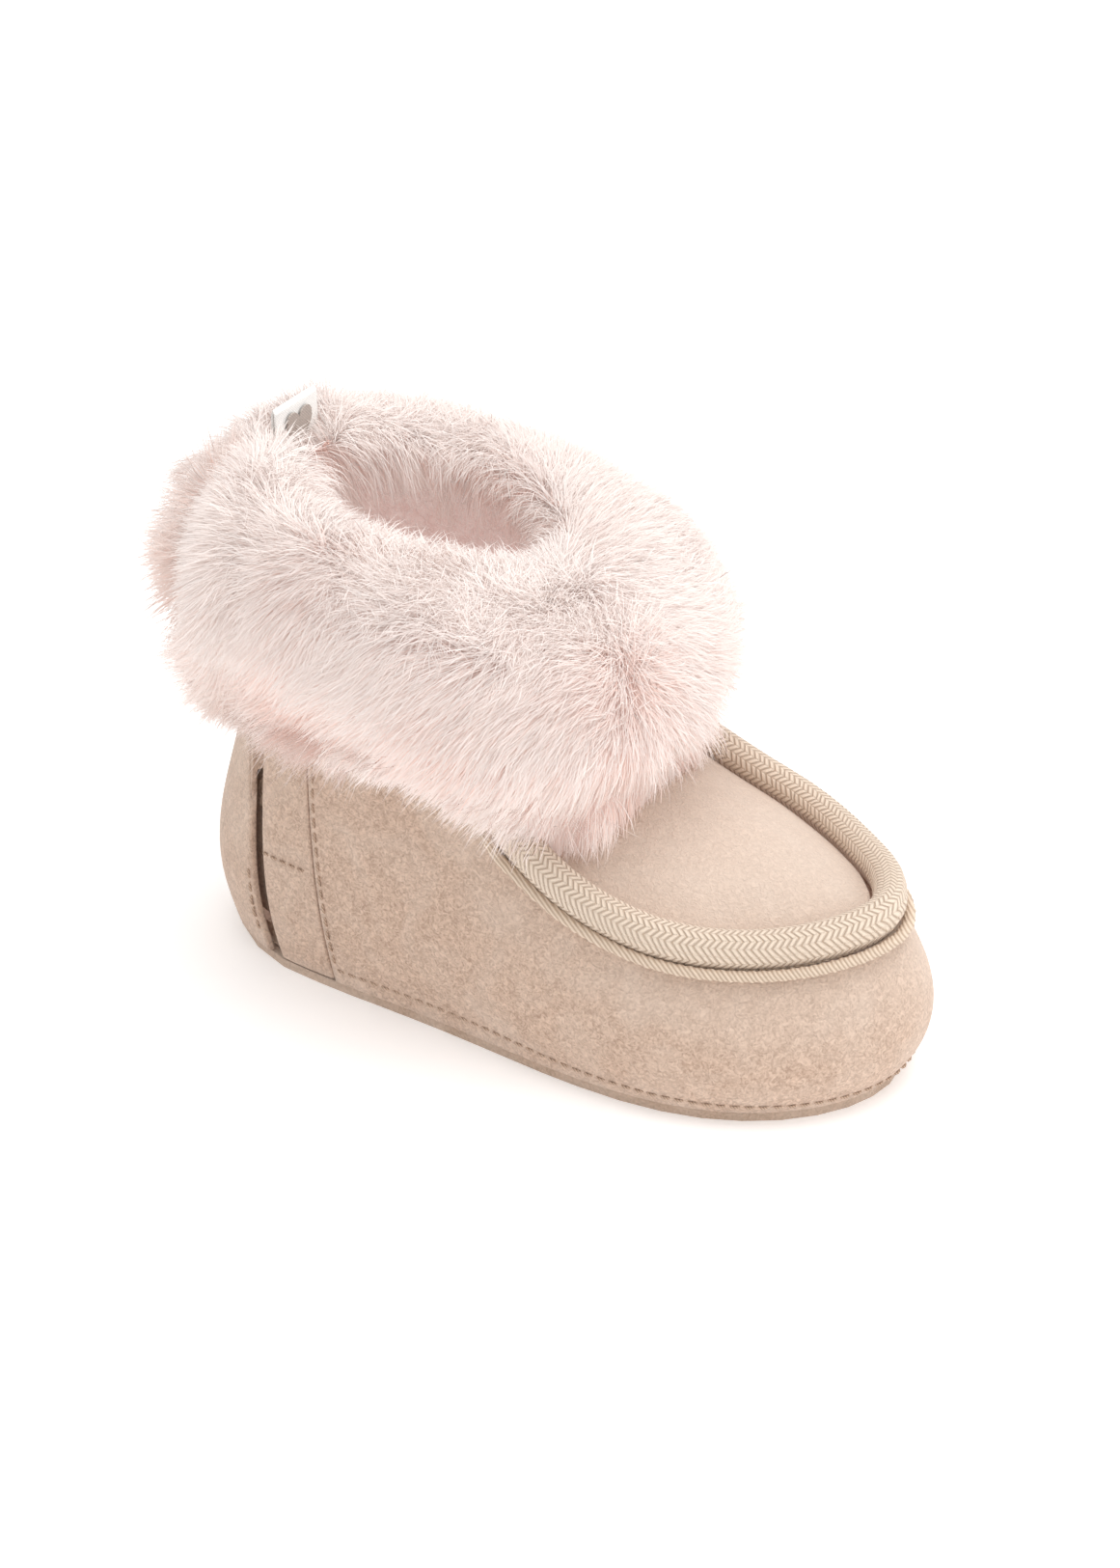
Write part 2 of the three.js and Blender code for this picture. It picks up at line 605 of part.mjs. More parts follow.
// The cuts that part the flap from the rest. Each one's normal points to the medial front.
const medialFront = vec(10, -40, 50);
function cut(a, b, aim) {
  const plane = new THREE.Plane().setFromCoplanarPoints(a, b, aim);
  return plane.distanceToPoint(medialFront) < 0 ? plane.negate() : plane;
}

const hingeLow = wallFace(SLIT, vAtHeight(SLIT, SLIT_BOTTOM_Z));
const hingeHigh = wallFace(FOLD_TOP, 2);
const slitLine = (s) => [wallFace(s, 0.5), wallFace(s, 1.9)];
const hingePlane = cut(hingeHigh, hingeLow, HINGE_AIM);
const slitPlane = cut(...slitLine(SLIT), SLIT_AIM);
const lapPlane = cut(...slitLine(UNDERLAP_EDGE + 0.1), SLIT_AIM);
// Outside the fold line the flap's own cut leans forward, so that its fur has room to swing.
const hingeAxis = hingeHigh.clone().sub(hingeLow).normalize();
const swing = THREE.MathUtils.degToRad(FLAP_OPENS + 2);
const swungAim = HINGE_AIM.clone().sub(hingeLow).applyAxisAngle(hingeAxis, swing).add(hingeLow);
const swingPlane = cut(hingeHigh, hingeLow, swungAim);

/** The space between the rear cuts and a front cut, on the medial side. */
function flapSpace(rearCuts, front, clear) {
  const cuts = [...rearCuts, front.clone().negate(), new THREE.Plane(vec(0, -1, 0), 0)];
  return cuts.map((plane) => beyond(plane, clear)).reduce((space, half) => space.intersect(half));
}

/** Parts a solid into what rides on the flap and what stays. */
function partFlap(geometry, front, clear = GAP / 2) {
  const solid = toSolid(geometry);
  const moving = solid.intersect(flapSpace([hingePlane, swingPlane], front, clear));
  const fixed = solid.subtract(flapSpace([hingePlane], front, -clear));
  return [moving, fixed].map(largest);
}

/** The largest body of a solid that a cut may have left in several. */
function largest(solid) {
  return solid.decompose().sort((a, b) => b.volume() - a.volume())[0];
}

add('outsole', plate(0, OUTSOLE.thick, OUTSOLE.inset), FINISH.sole);
add('midsole_foam', plate(FOAM.bottom, FOAM.top, FOAM.inset), FINISH.foam);
add('footbed', plate(FOOTBED.bottom, FOOTBED.top, FOOTBED.inset), FINISH.lining);
add('side_wall', makeSideWall(), FINISH.suede);
add('wall_padding', makePadding(), FINISH.foam);
add('tape_binding', makeTape(), FINISH.tape);
add('tape_cord', makeTapeCord(), FINISH.tape);
add('placket', makePlacket(), FINISH.suede);
add('apron', makeInstep(SUEDE, spread(0, INSTEP.length - 1, 22), 1), FINISH.suede);
const liningRows = spread(1.2, INSTEP.length - 1.3, 14);
add('instep_lining', makeInstep({ outer: 1.4, inner: 3.2 }, liningRows, 0.82), FINISH.lining);

const [flap, quarter] = partFlap(quarterBlank(), slitPlane);
add('heel_flap', toGeometry(flap), FINISH.suede);
add('heel_quarter', toGeometry(quarter), FINISH.suede);

const [flapLining] = partFlap(flapLiningBlank(), lapPlane);
const [, lining] = partFlap(liningRing(), lapPlane);
add('flap_lining', toGeometry(flapLining), FINISH.lining);
add('lining', toGeometry(lining), FINISH.lining);

const hollows = cuffHollows();
const [cuffFlap, cuff] = partFlap(cuffBlank(), slitPlane).map((solid) => (
  largest(hollows.reduce((left, hollow) => left.subtract(hollow), solid))
));
add('cuff', toGeometry(cuff), FINISH.fur);
add('cuff_flap', toGeometry(cuffFlap), FINISH.fur);

const [hookTape] = partFlap(closureTape(-1.93, -1.6, HOOK), slitPlane, 2 * GAP);
add('hook_tape', toGeometry(hookTape), FINISH.hookLoop);
add('loop_tape', closureTape(-1.93, -1.52, LOOP), FINISH.hookLoop);
const soleSeam = spread(-3.1, -TURN, 24).concat(spread(TURN, 0.2, 32).slice(1));
add('thread_sole', thread(soleSeam, () => 0.06), FINISH.thread);
add('thread_placket', climbingThread(PLACKET_SEAM - 0.12, SEAM_SPAN.bottom, SEAM_SPAN.top), FINISH.thread);
add('thread_slit', climbingThread(SLIT + 0.1, SEAM_SPAN.bottom, 0.34, 5), FINISH.thread);
add('thread_bar', thread(spread(-2.85, -2.15, 5), (s) => vAtHeight(s, BAR_Z)), FINISH.thread);
add('thread_back', climbingThread(0.16, SEAM_SPAN.bottom, SEAM_SPAN.top), FINISH.thread);
add('label', labelRibbon(), FINISH.ribbon);
add('label_mark', labelMark(), FINISH.mark);

export default bootie;
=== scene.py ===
"""A baby's bootie: suede upper on a soft sole, taped moccasin toe and a turned-down faux-fur cuff.

Lengths are in metres in the object's own frame: +X points to the toe, +Y to the wearer's left and
+Z up, with the origin under the middle of the sole.
"""

import json
import logging
import math
from collections.abc import Callable, Iterable
from dataclasses import dataclass, field
from enum import Enum
from typing import Any

import bmesh
import bpy
import numpy as np
from mathutils import Matrix, Vector
from mathutils.bvhtree import BVHTree
from mathutils.kdtree import KDTree


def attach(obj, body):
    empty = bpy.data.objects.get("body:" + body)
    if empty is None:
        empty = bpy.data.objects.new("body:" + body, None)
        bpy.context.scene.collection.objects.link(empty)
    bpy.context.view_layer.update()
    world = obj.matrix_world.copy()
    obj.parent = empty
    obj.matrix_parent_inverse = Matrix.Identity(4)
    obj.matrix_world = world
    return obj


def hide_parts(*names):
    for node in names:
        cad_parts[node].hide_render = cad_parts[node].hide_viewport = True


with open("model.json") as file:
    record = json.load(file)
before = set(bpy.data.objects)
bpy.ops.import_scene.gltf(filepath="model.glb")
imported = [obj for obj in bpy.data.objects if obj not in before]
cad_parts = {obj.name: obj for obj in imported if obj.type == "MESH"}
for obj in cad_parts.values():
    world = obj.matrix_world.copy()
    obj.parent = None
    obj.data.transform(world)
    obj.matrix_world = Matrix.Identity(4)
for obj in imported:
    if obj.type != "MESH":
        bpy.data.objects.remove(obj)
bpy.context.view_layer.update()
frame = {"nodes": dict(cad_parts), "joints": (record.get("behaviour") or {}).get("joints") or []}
MM = 0.001
LOG = logging.getLogger("bootie")

Color = tuple[float, float, float]


class Body(Enum):
    """The parts of the bootie that move on their own."""

    BOOTIE = "bootie"
    FLAP = "closure_flap"
    LABEL = "label_tab"


# ---- material graphs ------------------------------------------------------------------------------


class Graph:
    """A material's node tree, wired up one step at a time."""

    def __init__(self, name: str) -> None:
        """Starts an empty material.

        Args:
            name: the material's name.
        """
        self.material = bpy.data.materials.new(name)
        self.material.use_nodes = True
        self.tree = self.material.node_tree
        self.tree.nodes.clear()

    def node(self, kind: str, inputs: dict[Any, Any] | None = None, **settings: Any) -> Any:
        """Adds a node.

        Args:
            kind: the node's type.
            inputs: a value or a socket for each input, by name or place.
            settings: the node's own properties.

        Returns:
            The new node.
        """
        made = self.tree.nodes.new(kind)
        for key, value in settings.items():
            setattr(made, key, value)
        for key, value in (inputs or {}).items():
            if isinstance(value, bpy.types.NodeSocket):
                self.tree.links.new(value, made.inputs[key])
            else:
                made.inputs[key].default_value = value
        return made

    def place(self) -> Any:
        """The point on the object, in metres."""
        return self.node("ShaderNodeTexCoord").outputs["Object"]

    def uv(self) -> tuple[Any, Any]:
        """The piece's own two surface coordinates."""
        split = self.node("ShaderNodeSeparateXYZ", {0: self.node("ShaderNodeTexCoord").outputs["UV"]})
        return split.outputs["X"], split.outputs["Y"]

    def math(self, operation: str, *values: Any) -> Any:
        """One step of arithmetic on numbers or sockets."""
        node = self.node("ShaderNodeMath", dict(enumerate(values)), operation=operation)
        return node.outputs[0]

    def noise(self, size: float, detail: float = 3.0, distortion: float = 0.0, at: Any = None) -> Any:
        """Soft random patches.

        Args:
            size: the patches' size in metres.
            detail: how many finer layers are added.
            distortion: how far the patches swirl.
            at: the coordinates to read, or None for the point on the object.

        Returns:
            A socket from 0 to 1.
        """
        vector = self.place() if at is None else at
        inputs = {"Vector": vector, "Scale": 1 / size, "Detail": detail, "Distortion": distortion}
        return self.node("ShaderNodeTexNoise", inputs).outputs["Fac"]

    def ranged(self, value: Any, low: float, high: float, to_low: float = 0.0, to_high: float = 1.0) -> Any:
        """Maps a value from low..high to to_low..to_high, held at the ends."""
        inputs = {0: value, 1: low, 2: high, 3: to_low, 4: to_high}
        return self.node("ShaderNodeMapRange", inputs, clamp=True).outputs[0]

    def mix(self, factor: Any, first: Any, second: Any, blend: str = "MIX") -> Any:
        """Mixes two colours."""
        inputs = {0: factor, 6: as_input(first), 7: as_input(second)}
        node = self.node("ShaderNodeMix", inputs, data_type="RGBA", blend_type=blend)
        return node.outputs[2]

    def bump(self, height: Any, distance: float, strength: float = 1.0) -> Any:
        """Raises the surface by a height.

        Args:
            height: a socket from 0 to 1.
            distance: what a height of 1 stands for, in metres.
            strength: how much of it shows.

        Returns:
            The new normal.
        """
        inputs = {"Height": height, "Distance": distance, "Strength": strength}
        return self.node("ShaderNodeBump", inputs).outputs["Normal"]

    def done(self, color: Any, normal: Any = None, **shader: Any) -> bpy.types.Material:
        """Ends the graph in one shader.

        Args:
            color: a colour or a socket.
            normal: a normal, or None for the plain surface.
            shader: other values for the shader, by name with underscores.

        Returns:
            The finished material.
        """
        inputs = {"Base Color": as_input(color), "Specular IOR Level": 0.2}
        if normal is not None:
            inputs["Normal"] = normal
        for key, value in shader.items():
            inputs[key.replace("_", " ").replace("Ior", "IOR")] = as_input(value)
        surface = self.node("ShaderNodeBsdfPrincipled", inputs)
        self.node("ShaderNodeOutputMaterial", {"Surface": surface.outputs[0]})
        return self.material


def as_input(value: Any) -> Any:
    """A colour of three numbers gets its fourth; anything else stays as it is."""
    return (*value, 1.0) if isinstance(value, tuple) and len(value) == 3 else value


# ---- finishes -------------------------------------------------------------------------------------


@dataclass(frozen=True)
class Suede:
    """Brushed suede: a fine mottled nap with broader brushed patches, and painted light that pales the faces
    turned upwards.
    """

    name: str = "suede"
    light: Color = (0.73, 0.535, 0.415)
    dark: Color = (0.37, 0.24, 0.17)
    # The lighter colour of the real brushed patches, also used for the painted light on faces turned upwards.
    worn_and_top_lit: Color = (0.72, 0.60, 0.51)
    nap: float = 0.9 * MM
    brushed: float = 9 * MM
    relief: float = 0.16 * MM

    def material(self) -> bpy.types.Material:
        """The finished material."""
        g = Graph(self.name)
        curls = g.noise(self.nap, 4.0, 1.6)
        grains = g.noise(self.nap * 0.45, 2.0, 0.4)
        patches = g.noise(self.brushed, 2.0, 0.8)
        shade = g.math("ADD", g.ranged(curls, 0.36, 0.64, 0, 0.62), g.ranged(grains, 0.3, 0.7, 0, 0.38))
        color = g.mix(shade, self.dark, self.light)
        color = g.mix(g.ranged(patches, 0.4, 0.75, 0, 0.3), color, self.worn_and_top_lit)
        # Painted light: faces turned upwards are paled towards the lighter suede colour, as light from above
        # would pale them.
        painted_top_light_normal = g.node("ShaderNodeSeparateXYZ", {0: g.node("ShaderNodeNewGeometry").outputs["Normal"]})
        color = g.mix(g.ranged(painted_top_light_normal.outputs["Z"], 0.0, 0.85, 0, 0.6), color, self.worn_and_top_lit)
        nap = g.bump(shade, self.relief, 0.75)
        return g.done(
            color, nap, Roughness=0.95, Sheen_Weight=0.35, Sheen_Roughness=0.6, Sheen_Tint=(1.0, 0.93, 0.86)
        )


@dataclass(frozen=True)
class WovenTape:
    """Cotton tape in a small herringbone. Its surface coordinates run in millimetres."""

    name: str = "herringbone_tape"
    light: Color = (0.80, 0.665, 0.54)
    dark: Color = (0.44, 0.315, 0.225)
    row: float = 1.2
    pitch: float = 1.0
    slant: float = 0.75
    relief: float = 0.28 * MM

    def material(self) -> bpy.types.Material:
        """The finished material."""
        g = Graph(self.name)
        along, across = g.uv()
        fold = g.math("PINGPONG", across, self.row)
        lean = g.math("ADD", along, g.math("MULTIPLY", fold, self.slant))
        rib = g.math("SINE", g.math("MULTIPLY", lean, 2 * math.pi / self.pitch))
        rib = g.ranged(rib, -1.0, 1.0)
        row = g.math("ABSOLUTE", g.math("SINE", g.math("MULTIPLY", across, math.pi / self.row)))
        yarn = g.math("MULTIPLY", g.ranged(rib, 0.0, 0.55), g.ranged(row, 0.0, 0.5, 0.45, 1.0))
        fibre = g.noise(0.18 * MM, 3.0)
        height = g.math("ADD", g.math("MULTIPLY", yarn, 0.85), g.math("MULTIPLY", fibre, 0.25))
        color = g.mix(g.ranged(yarn, 0.0, 0.42), self.dark, self.light)
        color = g.mix(g.ranged(g.noise(7 * MM), 0.35, 0.7, 0.0, 0.25), color, (0.72, 0.585, 0.465))
        return g.done(color, g.bump(height, self.relief, 0.9), Roughness=0.85, Sheen_Weight=0.15)


@dataclass(frozen=True)
class Yarn:
    """Twisted thread or cord, its plies slanting round it."""

    name: str
    light: Color
    dark: Color
    ply: float = 0.5 * MM

    def material(self) -> bpy.types.Material:
        """The finished material."""
        g = Graph(self.name)
        wave = g.node(
            "ShaderNodeTexWave",
            {"Vector": g.place(), "Scale": 0.32 / self.ply, "Distortion": 1.2, "Detail": 2.0},
            bands_direction="DIAGONAL",
        ).outputs["Fac"]
        color = g.mix(g.ranged(wave, 0.1, 0.7), self.dark, self.light)
        return g.done(color, g.bump(wave, self.ply * 0.3, 0.8), Roughness=0.8, Sheen_Weight=0.1)


@dataclass(frozen=True)
class Plush:
    """Short curled plush, in pink tufts, with a faint glow for the light that passes through it."""

    name: str = "pink_plush"
    light: Color = (0.93, 0.80, 0.76)
    dark: Color = (0.80, 0.59, 0.54)
    tuft: float = 1.6 * MM
    through: Color = (0.95, 0.83, 0.80)
    glow: float = 0.15

    def material(self) -> bpy.types.Material:
        """The finished material."""
        g = Graph(self.name)
        tufts = g.noise(self.tuft, 3.0, 1.4)
        fibre = g.noise(self.tuft * 0.22, 2.0, 0.5)
        height = g.math("ADD", g.math("MULTIPLY", tufts, 0.7), g.math("MULTIPLY", fibre, 0.3))
        color = g.mix(g.ranged(height, 0.32, 0.64), self.dark, self.light)
        passed = {"Emission_Color": self.through, "Emission_Strength": self.glow}
        return g.done(color, g.bump(height, 0.8 * MM, 0.9), Roughness=1.0, Sheen_Weight=0.3, **passed)


@dataclass(frozen=True)
class Pile:
    """Fur strands, which carry their own colour from root to tip.

    The faint pink glow stands for the light that passes from strand to strand.
    """

    name: str
    attribute: str = "pile"
    through: Color = (1.0, 0.82, 0.76)
    glow: float = 0.15

    def material(self) -> bpy.types.Material:
        """The finished material."""
        g = Graph(self.name)
        color = g.node("ShaderNodeAttribute", attribute_name=self.attribute).outputs["Color"]
        passed = {"Emission_Color": self.through, "Emission_Strength": self.glow}
        return g.done(color, Roughness=0.8, Sheen_Weight=0.08, Sheen_Roughness=0.4, **passed)


@dataclass(frozen=True)
class FurBacking:
    """The knitted ground that the pile grows from, in the colour of the roots."""

    name: str = "fur_backing"
    light: Color = (0.97, 0.84, 0.80)
    dark: Color = (0.90, 0.66, 0.60)

    def material(self) -> bpy.types.Material:
        """The finished material."""
        g = Graph(self.name)
        tufts = g.noise(1.1 * MM, 3.0, 0.6)
        color = g.mix(g.ranged(tufts, 0.35, 0.65), self.dark, self.light)
        return g.done(color, g.bump(tufts, 0.5 * MM, 0.8), Roughness=1.0, Sheen_Weight=0.2)


@dataclass(frozen=True)
class Cloth:
    """A plain over-and-under weave."""

    name: str
    light: Color
    dark: Color
    yarn: float = 0.35 * MM
    shine: float = 0.7

    def material(self) -> bpy.types.Material:
        """The finished material."""
        g = Graph(self.name)
        split = g.node("ShaderNodeSeparateXYZ", {0: g.place()})
        waves = []
        for axis in ("Y", "Z"):
            turn = g.math("MULTIPLY", split.outputs[axis], math.pi / self.yarn)
            waves.append(g.math("SINE", turn))
        weave = g.ranged(g.math("MULTIPLY", *waves), -1.0, 1.0)
        fuzz = g.noise(self.yarn * 0.8, 3.0)
        height = g.math("ADD", g.math("MULTIPLY", weave, 0.6), g.math("MULTIPLY", fuzz, 0.4))
        color = g.mix(g.ranged(height, 0.25, 0.65), self.dark, self.light)
        return g.done(color, g.bump(height, self.yarn * 0.25, 0.7), Roughness=self.shine)


@dataclass(frozen=True)
class Foam:
    """Soft beige wadding with open pores."""

    name: str = "wadding"
    light: Color = (0.78, 0.64, 0.53)
    dark: Color = (0.58, 0.45, 0.36)

    def material(self) -> bpy.types.Material:
        """The finished material."""
        g = Graph(self.name)
        inputs = {"Vector": g.place(), "Scale": 1 / (0.9 * MM)}
        pores = g.node("ShaderNodeTexVoronoi", inputs).outputs["Distance"]
        height = g.ranged(pores, 0.0, 0.5)
        return g.done(g.mix(height, self.dark, self.light), g.bump(height, 0.2 * MM), Roughness=0.95)


@dataclass(frozen=True)
class HookAndLoop:
    """Rows of tiny hooks or loops on a woven ground."""

    name: str = "hook_and_loop"
    light: Color = (0.74, 0.58, 0.46)
    dark: Color = (0.50, 0.37, 0.28)

    def material(self) -> bpy.types.Material:
        """The finished material."""
        g = Graph(self.name)
        inputs = {"Vector": g.place(), "Scale": 1 / (0.7 * MM), "Randomness": 0.35}
        hooks = g.node("ShaderNodeTexVoronoi", inputs).outputs["Distance"]
        height = g.ranged(hooks, 0.0, 0.6, 1.0, 0.0)
        return g.done(g.mix(height, self.dark, self.light), g.bump(height, 0.3 * MM), Roughness=0.7)


@dataclass(frozen=True)
class Paper:
    """The plain pale floor, with the faintest mottle."""

    name: str = "pale_floor"
    light: Color = (0.95, 0.945, 0.94)
    dark: Color = (0.93, 0.925, 0.92)
    glow: float = 0.28

    def material(self) -> bpy.types.Material:
        """The finished material."""
        g = Graph(self.name)
        color = g.mix(g.noise(60 * MM), self.dark, self.light)
        return g.done(color, Roughness=0.9, Emission_Color=self.light, Emission_Strength=self.glow)


# ---- modelling helpers ----------------------------------------------------------------------------


def dress(piece: bpy.types.Object, material: bpy.types.Material) -> None:
    """Gives a piece one material all over.

    Args:
        piece: the piece.
        material: its material.
    """
    if not piece.material_slots:
        piece.data.materials.append(material)
    for each in piece.material_slots:
        each.material = material


def settle(piece: bpy.types.Object, body: Body, nodes: Iterable[str] = ()) -> bpy.types.Object:
    """Hands a finished piece over: what it rides on and what it stands for.

    Args:
        piece: the finished piece.
        body: the moving part that carries it.
        nodes: the frame's nodes that it replaces.

    Returns:
        The piece.
    """
    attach(piece, body.value)
    if nodes:
        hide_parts(*nodes)
    LOG.info("%s: %d faces, on %s", piece.name, len(piece.data.polygons), body.value)
    return piece


def select_only(piece: bpy.types.Object) -> None:
    """Makes one object the selected and active one."""
    bpy.ops.object.select_all(action="DESELECT")
    piece.select_set(True)
    bpy.context.view_layer.objects.active = piece


def apply_modifiers(piece: bpy.types.Object) -> None:
    """Applies every modifier of a piece, in order."""
    select_only(piece)
    for modifier in list(piece.modifiers):
        bpy.ops.object.modifier_apply(modifier=modifier.name)


def new_piece(name: str, mesh: bpy.types.Mesh) -> bpy.types.Object:
    """Links a new object for a mesh."""
    piece = bpy.data.objects.new(name, mesh)
    bpy.context.scene.collection.objects.link(piece)
    return piece


def mesh_from(name: str, points: np.ndarray, faces: list[tuple[int, ...]]) -> bpy.types.Mesh:
    """A mesh from points and faces."""
    mesh = bpy.data.meshes.new(name)
    mesh.from_pydata(points.tolist(), [], faces)
    mesh.update()
    return mesh


def copy_of(node: str, name: str) -> bpy.types.Object:
    """A new piece from a node's mesh, merged and paired into four-sided faces.

    Args:
        node: the frame's node.
        name: the new piece's name.

    Returns:
        The new piece.
    """
    mesh = frame["nodes"][node].data.copy()
    mesh.name = name
    mesh.materials.clear()
    bm = bmesh.new()
    bm.from_mesh(mesh)
    bmesh.ops.remove_doubles(bm, verts=bm.verts, dist=0.01 * MM)
    limits = {"angle_face_threshold": math.radians(40), "angle_shape_threshold": math.radians(70)}
    bmesh.ops.join_triangles(bm, faces=bm.faces, **limits)
    bm.to_mesh(mesh)
    bm.free()
    return new_piece(name, mesh)


def hold_edges(piece: bpy.types.Object, angle: float = 50, crease: float = 0.75) -> None:
    """Keeps a piece's sharp edges firm when it is subdivided.

    Args:
        piece: the piece.
        angle: the least angle of a sharp edge, in degrees.
        crease: how firm they are kept.
    """
    bm = bmesh.new()
    bm.from_mesh(piece.data)
    layer = bm.edges.layers.float.get("crease_edge") or bm.edges.layers.float.new("crease_edge")
    for edge in bm.edges:
        if len(edge.link_faces) == 2 and edge.calc_face_angle(0) > math.radians(angle):
            edge[layer] = crease
    bm.to_mesh(piece.data)
    bm.free()


def refine(piece: bpy.types.Object, levels: int = 2) -> None:
    """Subdivides a piece smoothly and shades it smooth.

    Args:
        piece: the piece.
        levels: how often each face is divided.
    """
    surface = piece.modifiers.new("surface", "SUBSURF")
    surface.levels = levels
    surface.render_levels = levels
    apply_modifiers(piece)
    bpy.ops.object.shade_smooth()


def soften(piece: bpy.types.Object, voxel: float, rounds: int) -> None:
    """Remeshes a piece evenly and smooths it.

    Args:
        piece: the piece.
        voxel: the new faces' size.
        rounds: how many rounds of smoothing.
    """
    even = piece.modifiers.new("even", "REMESH")
    even.mode = "VOXEL"
    even.voxel_size = voxel
    smooth = piece.modifiers.new("smooth", "SMOOTH")
    smooth.iterations = rounds
    smooth.factor = 0.5
    apply_modifiers(piece)
    bpy.ops.object.shade_smooth()


def tree_of(nodes: Iterable[str]) -> BVHTree:
    """A search tree over the meshes of the frame's nodes."""
    points: list[Vector] = []
    faces: list[tuple[int, ...]] = []
    for node in nodes:
        mesh = frame["nodes"][node].data
        start = len(points)
        points.extend(v.co.copy() for v in mesh.vertices)
        faces.extend(tuple(start + i for i in p.vertices) for p in mesh.polygons)
    return BVHTree.FromPolygons(points, faces)


def rings_of(node: str, sides: int) -> list[np.ndarray]:
    """The rings of a node that was swept along a path, end to end.

    Args:
        node: the frame's node.
        sides: how many corners each ring has.

    Returns:
        One array of points for each ring.
    """
    bm = bmesh.new()
    bm.from_mesh(frame["nodes"][node].data)
    bmesh.ops.remove_doubles(bm, verts=bm.verts, dist=0.005 * MM)
    bm.verts.ensure_lookup_table()
    front = flat_end(reached(bm.verts[0])[-1], sides)
    found = [np.array([v.co[:] for v in front])]
    seen = set(front)
    while front:
        front = {e.other_vert(v) for v in front for e in v.link_edges} - seen
        seen |= front
        if len(front) == sides:
            found.append(np.array([v.co[:] for v in front]))
    bm.free()
    return found


def reached(start: bmesh.types.BMVert) -> list[bmesh.types.BMVert]:
    """All corners joined to one, the nearest along the edges first."""
    order = [start]
    seen = {start}
    for vert in order:
        for edge in vert.link_edges:
            other = edge.other_vert(vert)
            if other not in seen:
                seen.add(other)
                order.append(other)
    return order


def flat_end(corner: bmesh.types.BMVert, sides: int) -> set[bmesh.types.BMVert]:
    """The corners of the flat end that one corner of a swept solid belongs to."""
    around = reached(corner)[: sides * 3]
    best: set[bmesh.types.BMVert] = set()
    for face in corner.link_faces:
        level = {v for v in around if abs((v.co - corner.co).dot(face.normal)) < 0.02 * MM}
        if len(level) == sides:
            best = level
    return best or set(around[:sides])


def spaced(line: np.ndarray, step: float) -> np.ndarray:
    """Points at even spaces along a line.

    Args:
        line: the line's points.
        step: the space between the new points.

    Returns:
        The new points.
    """
    lengths = np.linalg.norm(np.diff(line, axis=0), axis=1)
    along = np.concatenate([[0.0], np.cumsum(lengths)])
    count = max(2, int(round(along[-1] / step)) + 1)
    at = np.linspace(0, along[-1], count)
    return np.stack([np.interp(at, along, line[:, k]) for k in range(3)], axis=1)


def spread(mesh: bpy.types.Mesh, values: np.ndarray, rounds: int) -> np.ndarray:
    """Evens out values on a mesh's corners, each round taking every corner's neighbours' mean.

    Args:
        mesh: the mesh.
        values: one row for each corner.
        rounds: how many rounds.

    Returns:
        The evened rows.
    """
    edges = np.empty(len(mesh.edges) * 2, dtype=np.int64)
    mesh.edges.foreach_get("vertices", edges)
    ends = edges.reshape(-1, 2).T
    count = len(mesh.vertices)
    links = np.maximum(np.bincount(edges, minlength=count), 1)
    for _ in range(rounds):
        columns = []
        for column in values.T:
            total = np.bincount(ends[0], column[ends[1]], count)
            total += np.bincount(ends[1], column[ends[0]], count)
            columns.append(total / links)
        values = np.stack(columns, axis=1)
    return values


def unit(vectors: np.ndarray) -> np.ndarray:
    """The vectors at length 1."""
    return vectors / np.maximum(np.linalg.norm(vectors, axis=-1, keepdims=True), 1e-12)


# ---- sub-assemblies -------------------------------------------------------------------------------


@dataclass
class Sole:
    """The soft outsole, the foam on it and the plush footbed."""

    suede: Suede = Suede(name="sole_suede", light=(0.60, 0.44, 0.34), dark=(0.40, 0.28, 0.20))

    def build(self) -> None:
        """Makes and dresses the sole's three layers."""
        outsole = copy_of("outsole", "outsole_shaped")
        self.round_rim(outsole, 0.35 * MM)
        dress(outsole, self.suede.material())
        settle(outsole, Body.BOOTIE, ["outsole"])
        foam = copy_of("midsole_foam", "foam_shaped")
        self.round_rim(foam, 0.6 * MM)
        dress(foam, Foam().material())
        settle(foam, Body.BOOTIE, ["midsole_foam"])
        footbed = copy_of("footbed", "footbed_plush")
        self.round_rim(footbed, 0.7 * MM)
        dress(footbed, Plush(name="footbed_plush_finish").material())
        settle(footbed, Body.BOOTIE, ["footbed"])

    def round_rim(self, piece: bpy.types.Object, radius: float) -> None:
        """Rounds a flat layer's rim.

        Args:
            piece: the layer.
            radius: the rounding's radius.
        """
        bevel = piece.modifiers.new("rim", "BEVEL")
        bevel.width = radius
        bevel.segments = 4
        bevel.limit_method = "ANGLE"
        bevel.angle_limit = math.radians(50)
        apply_modifiers(piece)
        bpy.ops.object.shade_smooth_by_angle(angle=math.radians(40))


